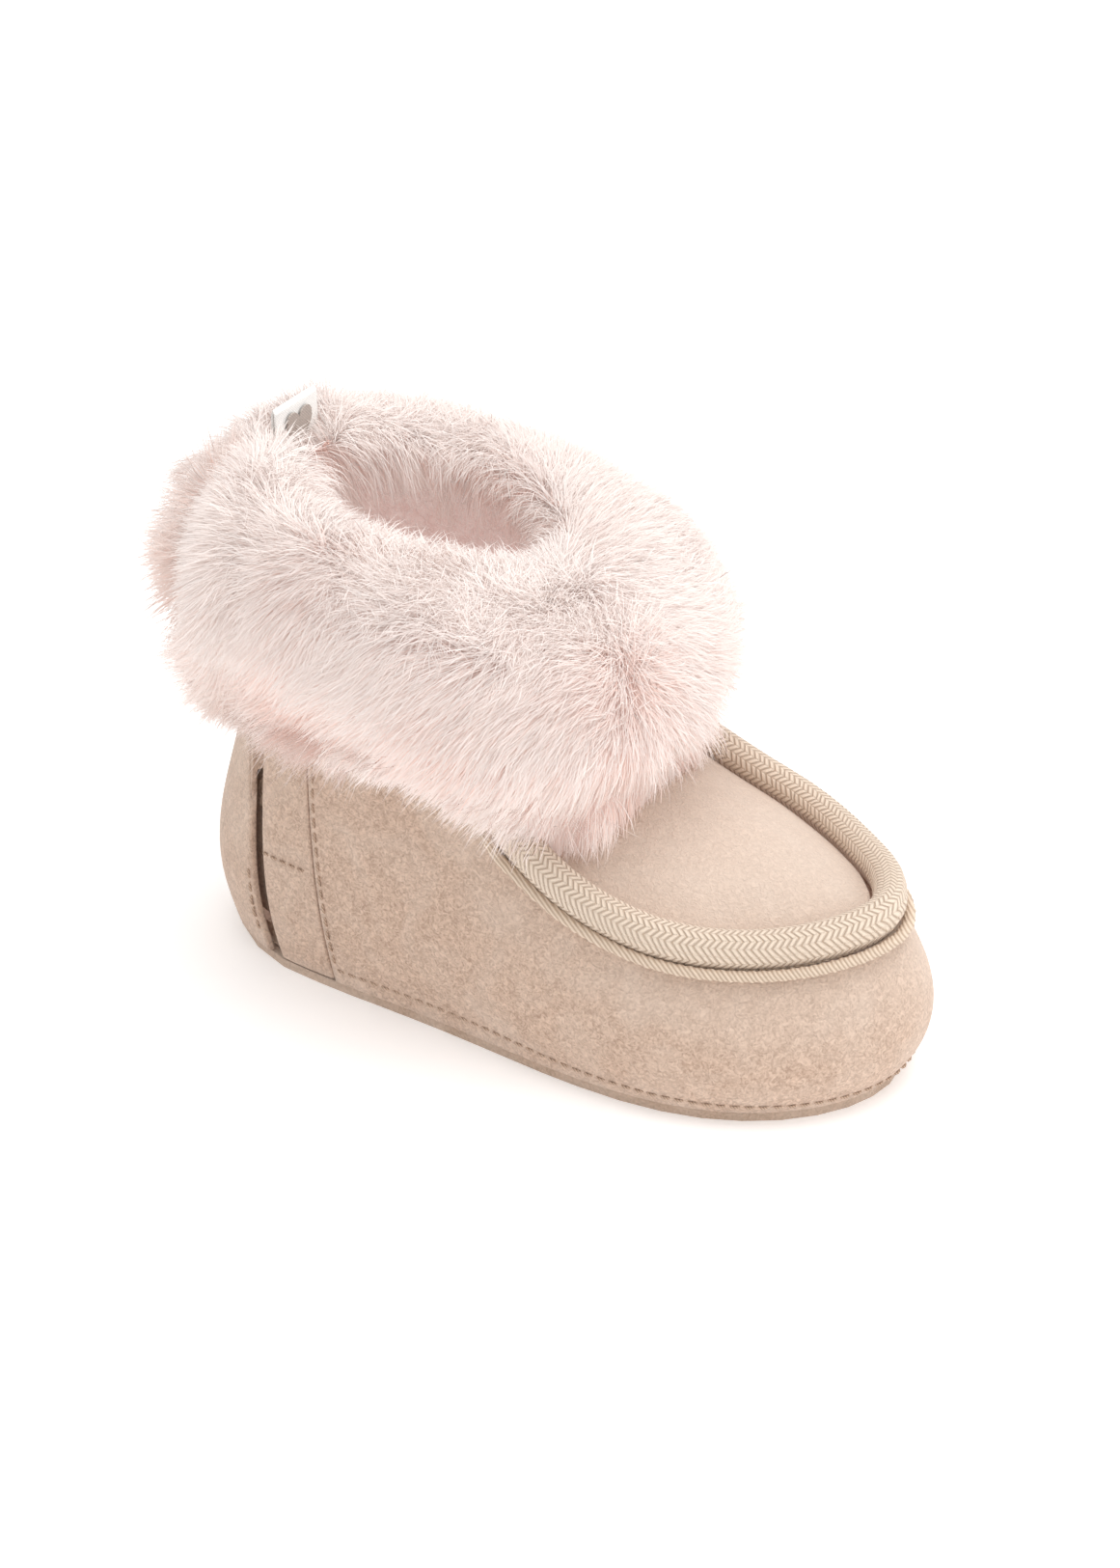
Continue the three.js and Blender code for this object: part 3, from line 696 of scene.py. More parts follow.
@dataclass
class Upper:
    """The suede panels and what lines them."""

    suede: Suede = Suede()
    shape_levels: int = 2
    slit: float = 1.5 * MM
    throat: float = 4.5 * MM
    drawn: float = 0.88
    nearly: float = 0.06 * MM

    def build(self) -> None:
        """Makes every panel, the wadding and the lining."""
        suede = self.suede.material()
        for node, body in (
            ("side_wall", Body.BOOTIE),
            ("apron", Body.BOOTIE),
            ("placket", Body.BOOTIE),
            ("heel_quarter", Body.BOOTIE),
            ("heel_flap", Body.FLAP),
        ):
            panel = copy_of(node, node + "_suede")
            hold_edges(panel, crease=0.93)
            refine(panel, self.shape_levels)
            if node == "heel_flap":
                self.draw_up(panel, tree_of(["placket"]), self.slit)
            dress(panel, suede)
            settle(panel, body, [node])
        plush = Plush().material()
        for node, body in (
            ("lining", Body.BOOTIE),
            ("instep_lining", Body.BOOTIE),
            ("flap_lining", Body.FLAP),
        ):
            layer = copy_of(node, node + "_plush")
            hold_edges(layer, 50, 0.5)
            refine(layer, 1)
            if node == "instep_lining":
                self.draw_up(layer, tree_of(["lining"]), self.throat)
            dress(layer, plush)
            settle(layer, body, [node])
        wadding = copy_of("wall_padding", "wall_wadding")
        hold_edges(wadding, 50, 0.4)
        refine(wadding, 1)
        dress(wadding, Foam(name="wall_wadding_finish").material())
        settle(wadding, Body.BOOTIE, ["wall_padding"])

    def draw_up(self, panel: bpy.types.Object, beside: BVHTree, reach: float) -> None:
        """Draws the edge of a panel up to the panel beside it, so the slit between them lies shut.

        Args:
            panel: the panel.
            beside: the panel that it closes on.
            reach: how wide a slit it closes.
        """
        for vert in panel.data.vertices:
            spot, _, _, away = beside.find_nearest(vert.co)
            if self.nearly < away < reach:
                vert.co += (spot - vert.co).normalized() * (away - self.nearly) * self.drawn


@dataclass
class MoccasinTape:
    """The padded roll of tape round the apron, and the narrow cord sewn under it."""

    corners: int = 10
    step: float = 0.45 * MM
    sides: int = 28
    groove: float = 0.16 * MM
    snug: float = 0.2 * MM
    filling: float = 0.35 * MM
    hang: float = 0.8 * MM
    groove_at: float = 0.30
    groove_wide: float = 0.035
    ply_pitch: float = 1.5 * MM

    def build(self) -> None:
        """Makes the roll and the cord."""
        roll = new_piece("tape_roll", self.roll_mesh())
        dress(roll, WovenTape().material())
        settle(roll, Body.BOOTIE, ["tape_binding"])
        cord = new_piece("tape_edge_cord", self.cord_mesh())
        dress(cord, Yarn("edge_cord", (0.76, 0.62, 0.495), (0.52, 0.39, 0.29)).material())
        settle(cord, Body.BOOTIE, ["tape_cord"])

    def frames(self, node: str, corners: int) -> tuple[np.ndarray, np.ndarray, np.ndarray, float, float]:
        """A swept node's middle line and section, spaced evenly.

        Args:
            node: the frame's node.
            corners: how many corners its rings have.

        Returns:
            The middle points, the ways out and up at each, and the section's two half sizes.
        """
        rings = rings_of(node, corners)
        middles = np.array([ring.mean(axis=0) for ring in rings])
        middle = spaced(middles, self.step)
        along = unit(np.gradient(middle, axis=0))
        out = unit(np.stack([along[:, 1], -along[:, 0], np.zeros(len(along))], axis=1))
        if np.sum(out * (middle - middle.mean(axis=0))) < 0:
            out = -out
        up = unit(np.cross(out, along))
        up *= np.sign(up[:, 2:3])
        nearest = np.array([np.argmin(np.linalg.norm(middles - point, axis=1)) for point in middle])
        tilt = np.array([self.tilt(rings[k], out[i], up[i]) for i, k in enumerate(nearest)])
        tilt = np.convolve(np.pad(tilt, 12, mode="edge"), np.ones(25) / 25, mode="valid")[:, None]
        up, out = unit(up * np.cos(tilt) + out * np.sin(tilt)), unit(out * np.cos(tilt) - up * np.sin(tilt))
        half = rings[len(rings) // 2] - middles[len(rings) // 2]
        at = np.argmin(np.linalg.norm(middle - middles[len(rings) // 2], axis=1))
        return middle, out, up, np.abs(half @ out[at]).max(), np.abs(half @ up[at]).max()

    def tilt(self, ring: np.ndarray, out: np.ndarray, up: np.ndarray) -> float:
        """How far a ring's taller side leans outwards, in radians; a round ring doesn't lean."""
        offsets = ring - ring.mean(axis=0)
        _, sizes, axes = np.linalg.svd(offsets)
        if sizes[0] < 1.08 * sizes[1]:
            return 0.0
        tall = axes[0] * np.sign(axes[0] @ up)
        return math.atan2(tall @ out, tall @ up)

    def roll_mesh(self) -> bpy.types.Mesh:
        """The roll: an oval swept along the seam, with a sewn groove along its lower side."""
        middle, out, up, thick, tall = self.frames("tape_binding", self.corners)
        turns = np.linspace(0, 2 * math.pi, self.sides, endpoint=False)
        lower = -self.groove_at * math.pi / 2 * 1.6
        dip = np.exp(-(((turns - lower + math.pi) % (2 * math.pi) - math.pi) ** 2) / (self.groove_wide * 2))
        inwards = np.maximum(0, -np.cos(turns))
        downwards = np.maximum(0, -np.sin(turns))
        r_out = thick + self.snug + self.filling * inwards - self.groove * dip
        r_up = tall + self.snug + self.hang * downwards - self.groove * dip * 0.5
        points = (
            middle[:, None, :]
            + out[:, None, :] * (r_out * np.cos(turns))[None, :, None]
            + up[:, None, :] * (r_up * np.sin(turns))[None, :, None]
        )
        return self.swept("tape_roll", points)

    def cord_mesh(self) -> bpy.types.Mesh:
        """The cord: two plies twisted round each other."""
        middle, out, up, thick, tall = self.frames("tape_cord", 6)
        turns = np.linspace(0, 2 * math.pi, 14, endpoint=False)
        twist = np.arange(len(middle)) * self.step / self.ply_pitch * math.pi
        lobes = 1.22 + 0.12 * np.cos(2 * (turns[None, :] - twist[:, None]))
        points = (
            middle[:, None, :]
            + out[:, None, :] * (thick * lobes * np.cos(turns))[:, :, None]
            + up[:, None, :] * (tall * lobes * np.sin(turns))[:, :, None]
        )
        return self.swept("tape_edge_cord", points)

    def swept(self, name: str, points: np.ndarray) -> bpy.types.Mesh:
        """A closed tube through rings of points, with surface coordinates in millimetres.

        Args:
            name: the mesh's name.
            points: the rings.

        Returns:
            The mesh.
        """
        count, sides, _ = points.shape
        faces: list[tuple[int, ...]] = []
        for i in range(count - 1):
            for j in range(sides):
                k = (j + 1) % sides
                faces.append((i * sides + j, i * sides + k, (i + 1) * sides + k, (i + 1) * sides + j))
        faces.append(tuple(reversed(range(sides))))
        faces.append(tuple((count - 1) * sides + j for j in range(sides)))
        mesh = mesh_from(name, points.reshape(-1, 3), faces)
        bm = bmesh.new()
        bm.from_mesh(mesh)
        bmesh.ops.recalc_face_normals(bm, faces=bm.faces)
        around = np.linalg.norm(points[0] - np.roll(points[0], 1, axis=0), axis=1).mean() / MM
        layer = bm.loops.layers.uv.new("surface")
        for face in bm.faces:
            columns = [loop.vert.index % sides for loop in face.loops]
            wraps = max(columns) - min(columns) > 1
            for loop, column in zip(face.loops, columns):
                turn = column + sides if wraps and column == 0 else column
                row = loop.vert.index // sides
                loop[layer].uv = (row * self.step / MM, turn * around)
            face.smooth = True
        bm.to_mesh(mesh)
        bm.free()
        return mesh


@dataclass
class Stitches:
    """Rows of separate stitches along the seams' threads."""

    gap: float = 0.5 * MM
    radius: float = 0.23 * MM
    dip: float = 0.35 * MM
    seat: float = 0.22 * MM
    sides: int = 6
    rows: dict[str, float] = field(
        default_factory=lambda: {
            "thread_sole": 2.1,
            "thread_placket": 2.3,
            "thread_slit": 2.3,
            "thread_bar": 1.9,
            "thread_back": 2.3,
        }
    )

    def build(self) -> None:
        """Makes each seam's row."""
        yarn = Yarn("sewing_thread", (0.62, 0.455, 0.35), (0.40, 0.28, 0.20), 0.3 * MM).material()
        leather = tree_of(["side_wall", "heel_quarter", "heel_flap", "placket", "apron", "tape_binding"])
        for node, pitch in self.rows.items():
            rings = rings_of(node, 4)
            line = spaced(np.array([ring.mean(axis=0) for ring in rings]), pitch * MM)
            row = new_piece(node + "_stitches", self.row_mesh(node, line, leather))
            dress(row, yarn)
            settle(row, Body.BOOTIE, [node])

    def row_mesh(self, name: str, line: np.ndarray, leather: BVHTree) -> bpy.types.Mesh:
        """One stitch between each two points of a line, its ends drawn into the leather.

        Args:
            name: the mesh's name.
            line: the points where the needle went through.
            leather: the surface that is sewn.

        Returns:
            The mesh.
        """
        points: list[np.ndarray] = []
        faces: list[tuple[int, ...]] = []
        ways = []
        seats = []
        for point in line:
            spot = leather.find_nearest(Vector(point))[0]
            ways.append(unit(point - np.array(spot)))
            seats.append(np.array(spot) + ways[-1] * self.seat)
        for i in range(len(line) - 1):
            self.add_stitch(points, faces, seats[i], seats[i + 1], unit(ways[i] + ways[i + 1]))
        mesh = mesh_from(name, np.array(points), faces)
        for polygon in mesh.polygons:
            polygon.use_smooth = True
        return mesh

    def add_stitch(
        self,
        points: list[np.ndarray],
        faces: list[tuple[int, ...]],
        a: np.ndarray,
        b: np.ndarray,
        away: np.ndarray,
    ) -> None:
        """Adds one stitch: a short thread that arches up and dips at both ends.

        Args:
            points: the mesh's points so far.
            faces: the mesh's faces so far.
            a: the first end.
            b: the second end.
            away: the way out of the leather.
        """
        along = unit(b - a)
        side = unit(np.cross(along, away))
        length = np.linalg.norm(b - a) - self.gap
        start = len(points)
        stages = (
            (-0.5, -1.3, 0.6),
            (-0.36, -0.6, 1.0),
            (0.0, -0.2, 1.05),
            (0.36, -0.6, 1.0),
            (0.5, -1.3, 0.6),
        )
        for at, sink, wide in stages:
            middle = (a + b) / 2 + along * length * at + away * self.dip * sink
            for j in range(self.sides):
                turn = 2 * math.pi * j / self.sides
                r = self.radius * wide
                points.append(middle + side * r * math.cos(turn) + away * r * math.sin(turn))
        for i in range(len(stages) - 1):
            for j in range(self.sides):
                k = (j + 1) % self.sides
                low, high = start + i * self.sides, start + (i + 1) * self.sides
                faces.append((low + j, high + j, high + k, low + k))
        last = start + (len(stages) - 1) * self.sides
        faces.append(tuple(start + j for j in range(self.sides)))
        faces.append(tuple(last + j for j in reversed(range(self.sides))))


@dataclass
class FurCuff:
    """The turned-down cuff: its ground cloth and the long pile that grows out of it."""

    seed: int = 7
    strands: int = 165000
    flap_strands: int = 27000
    per_piece: int = 24000
    pile_depth: float = 4.6 * MM
    length: float = 11.5 * MM
    width: float = 0.17 * MM
    clumps: int = 11000
    slit_depth: float = 0.4 * MM
    ruffle: float = 0.20
    evening: int = 34
    hinge: str = "flap_hinge"
    spare: float = 0.3 * MM
    clipped: float = 0.5
    segments: int = 4
    whorl: tuple[float, float, float] = (21 * MM, -7 * MM, 67 * MM)
    throat: tuple[float, float] = (-19 * MM, 0.0)
    tip: Color = (0.825, 0.75, 0.715)
    root: Color = (0.85, 0.56, 0.475)

    def build(self) -> None:
        """Makes the ground cloth and all of the pile."""
        rng = np.random.default_rng(self.seed)
        backing = FurBacking().material()
        pile = Pile("fur_pile").material()
        near = tree_of(["side_wall", "apron", "heel_quarter", "heel_flap", "tape_binding", "lining"])
        fixed = tree_of(["side_wall", "heel_quarter"])
        for node, other, body, count in (
            ("cuff", "cuff_flap", Body.BOOTIE, self.strands),
            ("cuff_flap", "cuff", Body.FLAP, self.flap_strands),
        ):
            ground = copy_of(node, node + "_ground")
            soften(ground, 1.1 * MM, 10)
            self.sink(ground, tree_of([other]))
            dress(ground, backing)
            settle(ground, body, [node])
            roots, normals = self.scatter(ground, count, rng, near)
            lines = self.grow(roots, normals, rng, near)
            if body is Body.FLAP:
                self.clip(lines, fixed)
            for part, start in enumerate(range(0, len(roots), self.per_piece)):
                rows = slice(start, start + self.per_piece)
                mesh = self.blades(f"{node}_pile_{part + 1}", lines[rows], normals[rows], rng)
                piece = new_piece(f"{node}_pile_{part + 1}", mesh)
                dress(piece, pile)
                settle(piece, body)

    def sink(self, ground: bpy.types.Object, other: BVHTree) -> None:
        """Draws the ground cloth in under the pile, as far as its own thickness allows.

        Args:
            ground: the cuff's smoothed solid.
            other: the part of the cuff across the slit, beside which the cloth stays where it is.
        """
        mesh = ground.data
        tree = BVHTree.FromObject(ground, bpy.context.evaluated_depsgraph_get())
        count = len(mesh.vertices)
        depth = np.empty(count)
        for i, vert in enumerate(mesh.vertices):
            inward = -vert.normal
            hit = tree.ray_cast(vert.co + inward * 0.05 * MM, inward)
            thick = hit[3] if hit[0] is not None else self.pile_depth
            across = other.ray_cast(vert.co, vert.normal, 3 * MM)
            depth[i] = min(self.pile_depth if across[0] is None else self.slit_depth, 0.42 * thick)
        for _ in range(12):
            around = spread(mesh, depth[:, None], 1)[:, 0]
            depth = np.minimum(depth, around) * 0.5 + around * 0.5
        points = np.empty(count * 3)
        normals = np.empty(count * 3)
        mesh.vertices.foreach_get("co", points)
        mesh.vertices.foreach_get("normal", normals)
        points = points.reshape(-1, 3) - normals.reshape(-1, 3) * depth[:, None]
        mesh.vertices.foreach_set("co", points.ravel())
        mesh.update()

    def scatter(
        self, ground: bpy.types.Object, count: int, rng: np.random.Generator, near: BVHTree
    ) -> tuple[np.ndarray, np.ndarray]:
        """Picks where the strands grow, all over the side that shows.

        Args:
            ground: the ground cloth.
            count: how many strands.
            rng: the source of chance.
            near: the surfaces that the cuff lies on.

        Returns:
            The roots and the normals there, evened out over the nearby surface.
        """
        mesh = ground.data
        mesh.calc_loop_triangles()
        count_tris = len(mesh.loop_triangles)
        index = np.empty(count_tris * 3, dtype=np.int64)
        mesh.loop_triangles.foreach_get("vertices", index)
        index = index.reshape(-1, 3)
        points = np.empty(len(mesh.vertices) * 3)
        mesh.vertices.foreach_get("co", points)
        points = points.reshape(-1, 3)
        vertex_normals = np.empty(len(mesh.vertices) * 3)
        mesh.vertices.foreach_get("normal", vertex_normals)
        vertex_normals = vertex_normals.reshape(-1, 3)
        broad = unit(spread(mesh, vertex_normals, self.evening))
        middles = [(points[t].mean(axis=0), vertex_normals[t].mean(axis=0)) for t in index]
        shown = np.array([self.shows(middle, normal, near) for middle, normal in middles])
        index = index[shown]
        a, b, c = (points[index[:, k]] for k in range(3))
        area = np.linalg.norm(np.cross(b - a, c - a), axis=1)
        pick = rng.choice(len(index), size=count, p=area / area.sum())
        u, v = rng.random(count), rng.random(count)
        flip = u + v > 1
        u[flip], v[flip] = 1 - u[flip], 1 - v[flip]
        weights = np.stack([1 - u - v, u, v], axis=1)[:, :, None]
        roots = (points[index[pick]] * weights).sum(axis=1)
        normals = unit((broad[index[pick]] * weights).sum(axis=1))
        return roots, normals

    def shows(self, point: np.ndarray, normal: np.ndarray, near: BVHTree) -> bool:
        """Whether pile can grow here: nothing lies close in front of the surface."""
        hit = near.ray_cast(Vector(point), Vector(normal).normalized(), 9 * MM)
        return hit[0] is None

    def flow(
        self, roots: np.ndarray, normals: np.ndarray, rng: np.random.Generator
    ) -> tuple[np.ndarray, np.ndarray]:
        """The way the pile lies.

        Args:
            roots: where the strands grow.
            normals: the surface's normals there.
            rng: the source of chance.

        Returns:
            The lie of each strand along the surface, and how upright it stands, from 0 to 1.
        """
        down = np.array([0.0, 0.0, -1.0])
        radial = unit(roots - np.array(self.whorl))
        level = [roots[:, 0] - self.throat[0], roots[:, 1] - self.throat[1], roots[:, 2] * 0]
        outward = unit(np.stack(level, axis=1))
        facing = np.sum(normals * outward, axis=1)
        top = np.clip((normals[:, 2] + 0.15) / 1.05, 0, 1)[:, None]
        top = top * top * (3 - 2 * top)
        inner = np.clip((-facing + 0.25) / 0.9, 0, 1)[:, None]
        hem = np.clip((54 * MM - roots[:, 2]) / (12 * MM), 0, 1)[:, None]
        lie = radial * (1.0 - 0.45 * hem) + down * (0.30 + 0.8 * hem)
        lie = lie * (1 - top) + (radial * 0.5 + outward * 0.25) * top
        lie = lie * (1 - inner) + (down * 0.8 - outward * 0.4) * inner
        lie += self.swirl(roots, 9 * MM) * 0.40 + self.swirl(roots, 3 * MM) * 0.30
        lie += rng.normal(0, 0.15, roots.shape) * (1 + 0.6 * top)
        lie -= normals * np.sum(lie * normals, axis=1)[:, None]
        lift = 0.38 + 0.34 * top[:, 0] + 0.1 * inner[:, 0] - 0.10 * hem[:, 0]
        lift += rng.normal(0, 0.07, len(roots))
        return unit(lie), np.clip(lift, 0.12, 0.95)

    def swirl(self, points: np.ndarray, size: float) -> np.ndarray:
        """Smooth wandering directions, from a few crossed waves."""
        p = points / size
        x = np.sin(p[:, 0] * 1.3 + 2.1 * np.sin(p[:, 1] * 0.9)) + np.sin(p[:, 2] * 1.7 + 0.6)
        y = np.sin(p[:, 1] * 1.5 + 1.7 * np.sin(p[:, 2] * 1.1 + 1.0)) + np.sin(p[:, 0] * 1.2 + 2.0)
        z = np.sin(p[:, 2] * 1.4 + 1.9 * np.sin(p[:, 0] * 0.8 + 2.5)) + np.sin(p[:, 1] * 1.9 + 4.0)
        return np.stack([x, y, z], axis=1) * 0.5

    def grow(
        self, roots: np.ndarray, normals: np.ndarray, rng: np.random.Generator, near: BVHTree
    ) -> np.ndarray:
        """Grows each strand from its root, bending over as it goes.

        Args:
            roots: where the strands grow.
            normals: the surface's normals there.
            rng: the source of chance.
            near: the surfaces that the strands must lie on, not pass through.

        Returns:
            The points of each strand, root first.
        """
        lie, lift = self.flow(roots, normals, rng)
        count = len(roots)
        length = self.length * np.clip(rng.normal(0.95, 0.15, count), 0.5, 1.3)
        length *= 1 - 0.36 * np.clip((normals[:, 2] + 0.1) / 0.9, 0, 1)
        start = unit(normals * lift[:, None] + lie * (1 - lift[:, None]) * 0.9)
        end = unit(lie + normals * (lift[:, None] - 0.42) + np.array([0, 0, -0.28]))
        bend = rng.normal(0, 0.16, (count, 3))
        lines = np.empty((count, self.segments + 1, 3))
        lines[:, 0] = roots
        for k in range(self.segments):
            share = (k + 0.5) / self.segments
            way = unit(start * (1 - share) + end * share + bend * share**2)
            lines[:, k + 1] = lines[:, k] + way * (length / self.segments)[:, None]
        self.gather(lines, normals, rng)
        self.clear(lines, near)
        return lines

    def gather(self, lines: np.ndarray, normals: np.ndarray, rng: np.random.Generator) -> None:
        """Draws the strands' tips together in locks, more on the sides than on the crest.

        Args:
            lines: the strands' points, changed in place.
            normals: the surface's normals at the roots.
            rng: the source of chance.
        """
        count = len(lines)
        leaders = rng.choice(count, size=max(1, int(self.clumps * count / self.strands)), replace=False)
        tree = KDTree(len(leaders))
        for i, leader in enumerate(leaders):
            tree.insert(lines[leader, 0], i)
        tree.balance()
        nearest = np.array([leaders[tree.find(p)[1]] for p in lines[:, 0]])
        pull = np.clip(rng.normal(0.38, 0.18, count), 0, 0.75) * (1 - 0.75 * np.clip(normals[:, 2], 0, 1))
        for k in range(1, self.segments + 1):
            share = (k / self.segments) ** 1.5
            offset = lines[nearest, k] - lines[:, k]
            lines[:, k] += offset * (pull * share)[:, None]

    def clear(self, lines: np.ndarray, near: BVHTree) -> None:
        """Keeps the low strands on the outside of the leather.

        Args:
            lines: the strands' points, changed in place.
            near: the surfaces that they lie on.
        """
        low = np.nonzero(lines[:, :, 2].min(axis=1) < 56 * MM)[0]
        for i in low:
            for k in range(1, self.segments + 1):
                point = Vector(lines[i, k])
                spot, normal, _, away = near.find_nearest(point)
                depth = (point - spot).dot(normal)
                if away < 4 * MM and depth < 0.35 * MM:
                    lines[i, k] = spot + normal * (0.35 * MM + 0.1 * MM * k)

    def clip(self, lines: np.ndarray, fixed: BVHTree) -> None:
        """Shortens the flap's strands that the fold would press into the heel when the flap is open.

        Args:
            lines: the strands' points, changed in place.
            fixed: the leather that stays behind.
        """
        joint = next(j for j in frame["joints"] if j["name"] == self.hinge)
        pivot = Vector(joint["pos_m"])
        for share in (0.5, 1.0):
            opened = Matrix.Rotation(math.radians(joint["range_deg"][1] * share), 3, Vector(joint["axis"]))
            for line in lines:
                tip = opened @ (Vector(line[-1]) - pivot) + pivot
                middle = opened @ (Vector(line[2]) - pivot) + pivot
                caught = False
                for point in (middle, tip):
                    spot, normal, _, away = fixed.find_nearest(point)
                    caught = caught or (away < 8 * MM and (point - spot).dot(normal) < self.spare)
                if caught:
                    line[1:] = line[0] + (line[1:] - line[0]) * self.clipped

    def blades(
        self, name: str, lines: np.ndarray, normals: np.ndarray, rng: np.random.Generator
    ) -> bpy.types.Mesh:
        """Turns strands into thin tapered blades, each with its colour from root to tip.

        Args:
            name: the mesh's name.
            lines: the strands' points.
            normals: the surface's normals at the roots.
            rng: the source of chance.

        Returns:
            The mesh.
        """
        count, stages, _ = lines.shape
        way = unit(lines[:, -1] - lines[:, 0])
        across = unit(np.cross(way, normals) + rng.normal(0, 0.2, (count, 3)))
        width = self.width * np.clip(rng.normal(1.0, 0.25, count), 0.5, 1.8)
        taper = np.array([1.0, 0.95, 0.8, 0.55])
        sides = across[:, None, :] * (width[:, None] * taper[None, :] / 2)[:, :, None]
        body = lines[:, : stages - 1]
        pairs = np.stack([body - sides, body + sides], axis=2).reshape(count, -1, 3)
        points = np.concatenate([pairs, lines[:, -1:]], axis=1)
        per = points.shape[1]
        quads = [(2 * k, 2 * k + 1, 2 * k + 3, 2 * k + 2) for k in range(stages - 2)]
        corners = [*sum(quads, ()), 2 * (stages - 2), 2 * (stages - 2) + 1, per - 1]
        sizes = [4] * len(quads) + [3]
        base = (np.arange(count) * per)[:, None]
        index = (base + np.array(corners)[None, :]).ravel()
        totals = np.tile(sizes, count)
        mesh = bpy.data.meshes.new(name)
        mesh.vertices.add(count * per)
        mesh.vertices.foreach_set("co", points.ravel())
        mesh.loops.add(len(index))
        mesh.loops.foreach_set("vertex_index", index.astype(np.int32))
        mesh.polygons.add(len(totals))
        starts = np.concatenate([[0], np.cumsum(totals)[:-1]])
        mesh.polygons.foreach_set("loop_start", starts.astype(np.int32))
        mesh.polygons.foreach_set("use_smooth", np.ones(len(totals), dtype=bool))
        mesh.update(calc_edges=True)
        self.tint(mesh, lines, normals, per, rng)
        self.shade(mesh, normals, way, per, rng)
        return mesh

    def shade(
        self, mesh: bpy.types.Mesh, normals: np.ndarray, way: np.ndarray, per: int, rng: np.random.Generator
    ) -> None:
        """Turns the blades' shading towards the surface they grow from, so the pile reads as one soft mass.

        Args:
            mesh: the blades.
            normals: the surface's normals at the roots.
            way: the way each strand runs.
            per: how many points each blade has.
            rng: the source of chance.
        """
        soft = unit(normals + way * 0.25 + rng.normal(0, self.ruffle, normals.shape))
        mesh.normals_split_custom_set_from_vertices(np.repeat(soft, per, axis=0).tolist())

    def tint(
        self, mesh: bpy.types.Mesh, lines: np.ndarray, normals: np.ndarray, per: int, rng: np.random.Generator
    ) -> None:
        """Writes each strand's colour: pink at the root, nearly white at the tip, with painted light that
        pales the strands on faces turned upwards and at the heel.

        Args:
            mesh: the blades.
            lines: the strands' points.
            normals: the surface's normals at the roots.
            per: how many points each blade has.
            rng: the source of chance.
        """
        count = len(lines)
        share = np.repeat(np.arange(self.segments) / self.segments, 2)
        share = np.concatenate([share, [1.0]])
        streak = self.swirl(lines[:, 0], 5 * MM)[:, 0] * 0.22 + rng.normal(0, 0.16, count)
        # Painted light: strands on faces turned upwards are paled, as the light from above would pale them.
        top = np.clip(normals[:, 2], 0, 1)
        # Painted light: strands towards the heel are paled to lift the shade that falls there.
        heel = np.clip((-28 * MM - lines[:, 0, 0]) / (14 * MM), 0, 1)
        base = 0.5 * top + 0.3 * heel - 0.05 - streak
        pale = np.clip(share[None, :] * 1.2 + base[:, None], 0, 1)
        colors = np.ones((count, per, 4))
        pale = pale[:, :, None]
        colors[:, :, :3] = np.array(self.root) * (1 - pale) + np.array(self.tip) * pale
        layer = mesh.color_attributes.new("pile", "FLOAT_COLOR", "POINT")
        layer.data.foreach_set("color", colors.ravel())


@dataclass
class Fastening:
    """The hook-and-loop tape hidden behind the flap."""

    def build(self) -> None:
        """Makes both halves of the tape."""
        finish = HookAndLoop().material()
        for node, body in (("hook_tape", Body.FLAP), ("loop_tape", Body.BOOTIE)):
            tape = copy_of(node, node + "_pile")
            hold_edges(tape, 50, 0.9)
            refine(tape, 1)
            dress(tape, finish)
            settle(tape, body, [node])


@dataclass
class Label:
    """The folded ribbon label with its small plain heart."""

    loose: tuple[float, ...] = (0.0, 0.5 * MM, 2.1 * MM, 2.6 * MM)
    pressed: tuple[float, ...] = (0.0, 0.42 * MM, 0.55 * MM, 0.97 * MM)

    def build(self) -> None:
        """Makes the ribbon and the heart on it."""
        ribbon = copy_of("label", "label_ribbon")
        self.press(ribbon)
        hold_edges(ribbon, 50, 0.8)
        refine(ribbon, 1)
        dress(ribbon, Cloth("ribbon", (0.95, 0.94, 0.92), (0.80, 0.78, 0.75), 0.22 * MM).material())
        settle(ribbon, Body.LABEL, ["label"])
        heart = copy_of("label_mark", "label_heart")
        bevel = heart.modifiers.new("rim", "BEVEL")
        bevel.width = 0.06 * MM
        bevel.segments = 2
        bevel.limit_method = "ANGLE"
        apply_modifiers(heart)
        dress(heart, Cloth("heart", (0.50, 0.43, 0.385), (0.36, 0.31, 0.28), 0.25 * MM).material())
        settle(heart, Body.LABEL, ["label_mark"])

    def press(self, ribbon: bpy.types.Object) -> None:
        """Presses the fold flat, its two layers almost touching behind the heart.

        Args:
            ribbon: the ribbon, before it is refined.
        """
        front = max(v.co.x for v in ribbon.data.vertices)
        for vert in ribbon.data.vertices:
            vert.co.x = front - float(np.interp(front - vert.co.x, self.loose, self.pressed))


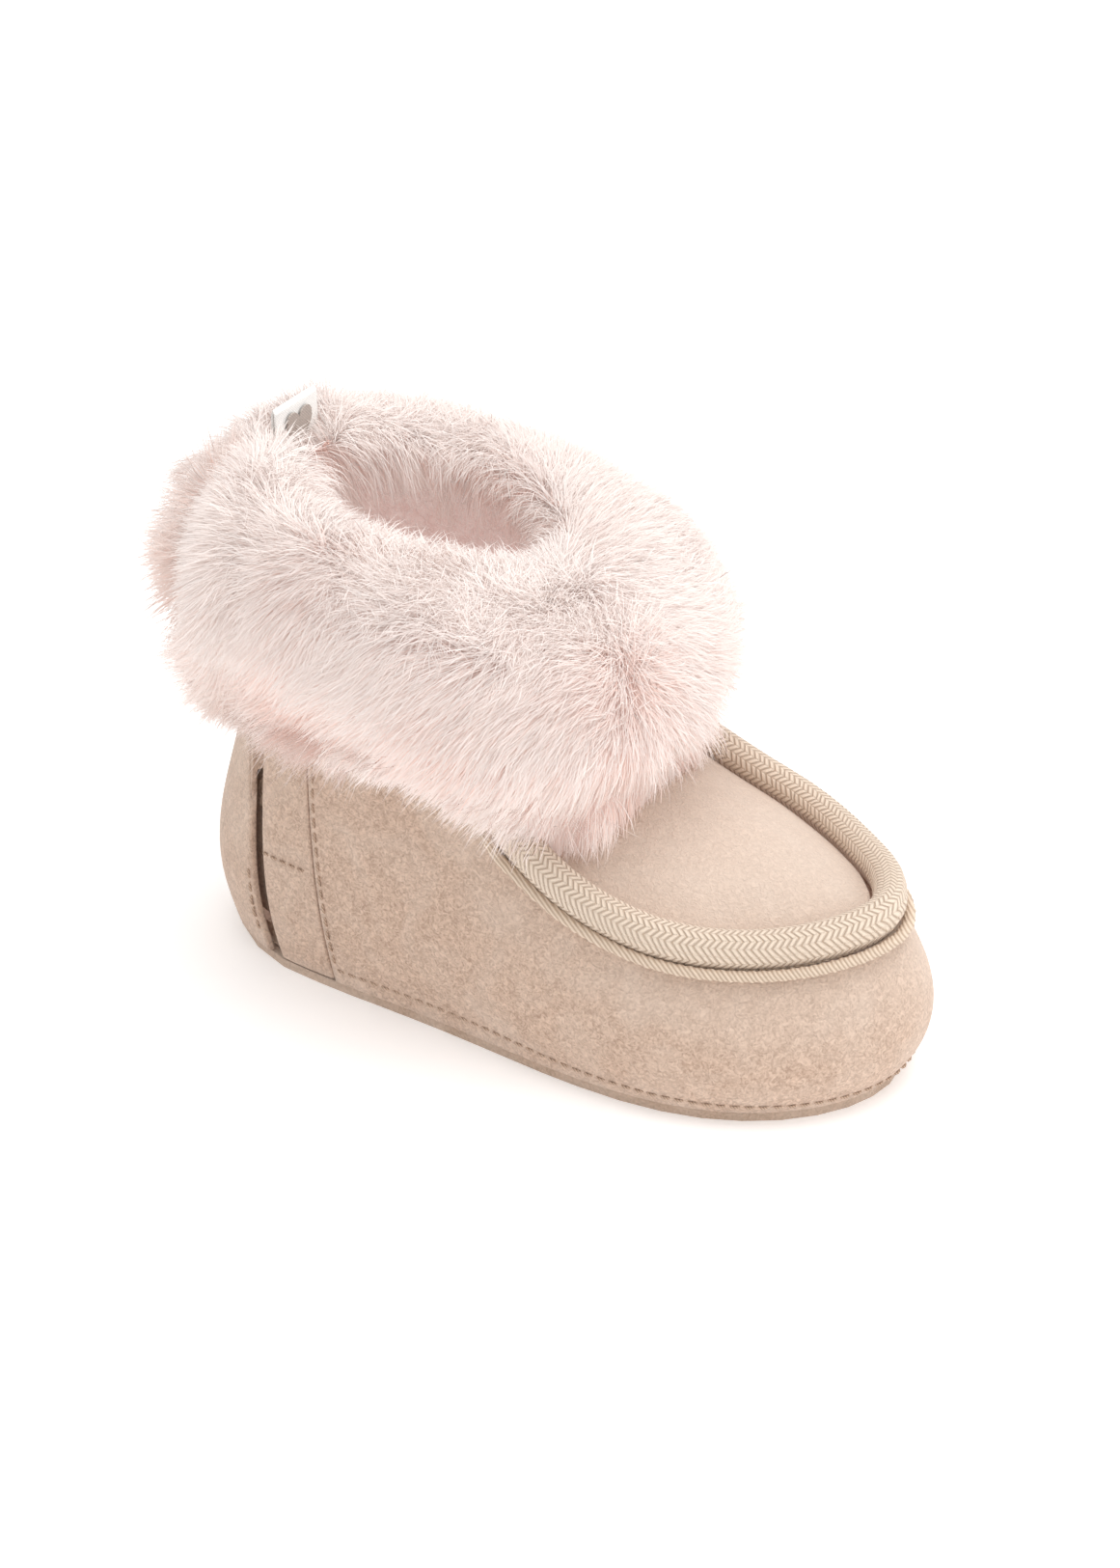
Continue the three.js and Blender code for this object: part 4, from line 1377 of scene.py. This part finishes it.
@dataclass
class Studio:
    """The floor, the lights and the camera."""

    camera_at: tuple[float, float, float] = (0.2881, -0.4743, 0.350)
    looks_at: tuple[float, float, float] = (0.001, -0.003, 0.036)
    lens: float = 98.0
    sky: float = 0.80
    floor_size: float = 40.0

    def build(self) -> None:
        """Sets up the whole studio."""
        scene = bpy.context.scene
        scene.view_settings.view_transform = "Standard"
        self.floor()
        self.world()
        self.light("overhead", (0.10, 0.10, 0.8), 0.8, 3.9, (0.0, 0.0, 0.03))
        self.light("window", (0.75, 0.15, 0.30), 0.6, 1.2, (0.0, 0.0, 0.03))
        data = bpy.data.cameras.new("camera")
        data.lens = self.lens
        data.sensor_width = 36
        camera = bpy.data.objects.new("camera", data)
        camera.location = self.camera_at
        self.aim(camera, self.looks_at)
        scene.collection.objects.link(camera)
        scene.camera = camera

    def aim(self, thing: bpy.types.Object, at: tuple[float, float, float]) -> None:
        """Turns a camera or light to look at a point."""
        way = Vector(at) - Vector(thing.location)
        thing.rotation_euler = way.to_track_quat("-Z", "Y").to_euler()

    def floor(self) -> None:
        """Lays the pale floor."""
        bpy.ops.object.select_all(action="DESELECT")
        bpy.ops.mesh.primitive_plane_add(size=self.floor_size, location=(0, 0, 0))
        floor = bpy.context.object
        floor.name = "floor"
        dress(floor, Paper().material())

    def world(self) -> None:
        """Fills the studio with even white light."""
        world = bpy.data.worlds.new("studio")
        bpy.context.scene.world = world
        world.use_nodes = True
        nodes, links = world.node_tree.nodes, world.node_tree.links
        background = nodes["Background"]
        background.inputs["Color"].default_value = (1.0, 1.0, 1.0, 1.0)
        seen = nodes.new("ShaderNodeMapRange")
        seen.inputs["To Min"].default_value = self.sky
        seen.inputs["To Max"].default_value = 1.0
        links.new(nodes.new("ShaderNodeLightPath").outputs["Is Camera Ray"], seen.inputs["Value"])
        links.new(seen.outputs[0], background.inputs["Strength"])

    def light(
        self,
        name: str,
        at: tuple[float, float, float],
        size: float,
        power: float,
        target: tuple[float, float, float],
    ) -> None:
        """Hangs one soft light.

        Args:
            name: its name.
            at: where it hangs.
            size: its width.
            power: its power in watts.
            target: what it points at.
        """
        data = bpy.data.lights.new(name, "AREA")
        data.shape = "DISK"
        data.size = size
        data.energy = power
        lamp = bpy.data.objects.new(name, data)
        lamp.location = at
        self.aim(lamp, target)
        bpy.context.scene.collection.objects.link(lamp)


def write_sizes() -> None:
    """Updates the view layer."""
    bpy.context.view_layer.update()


def main() -> None:
    """Builds the bootie, part by part, and then the studio."""
    logging.basicConfig(level=logging.INFO, format="%(name)s: %(message)s")
    steps: list[Callable[[], None]] = [
        Studio().build,
        Sole().build,
        Upper().build,
        MoccasinTape().build,
        Fastening().build,
        Stitches().build,
        Label().build,
        FurCuff().build,
        write_sizes,
    ]
    for step in steps:
        step()


if __name__ == "__main__":
    main()
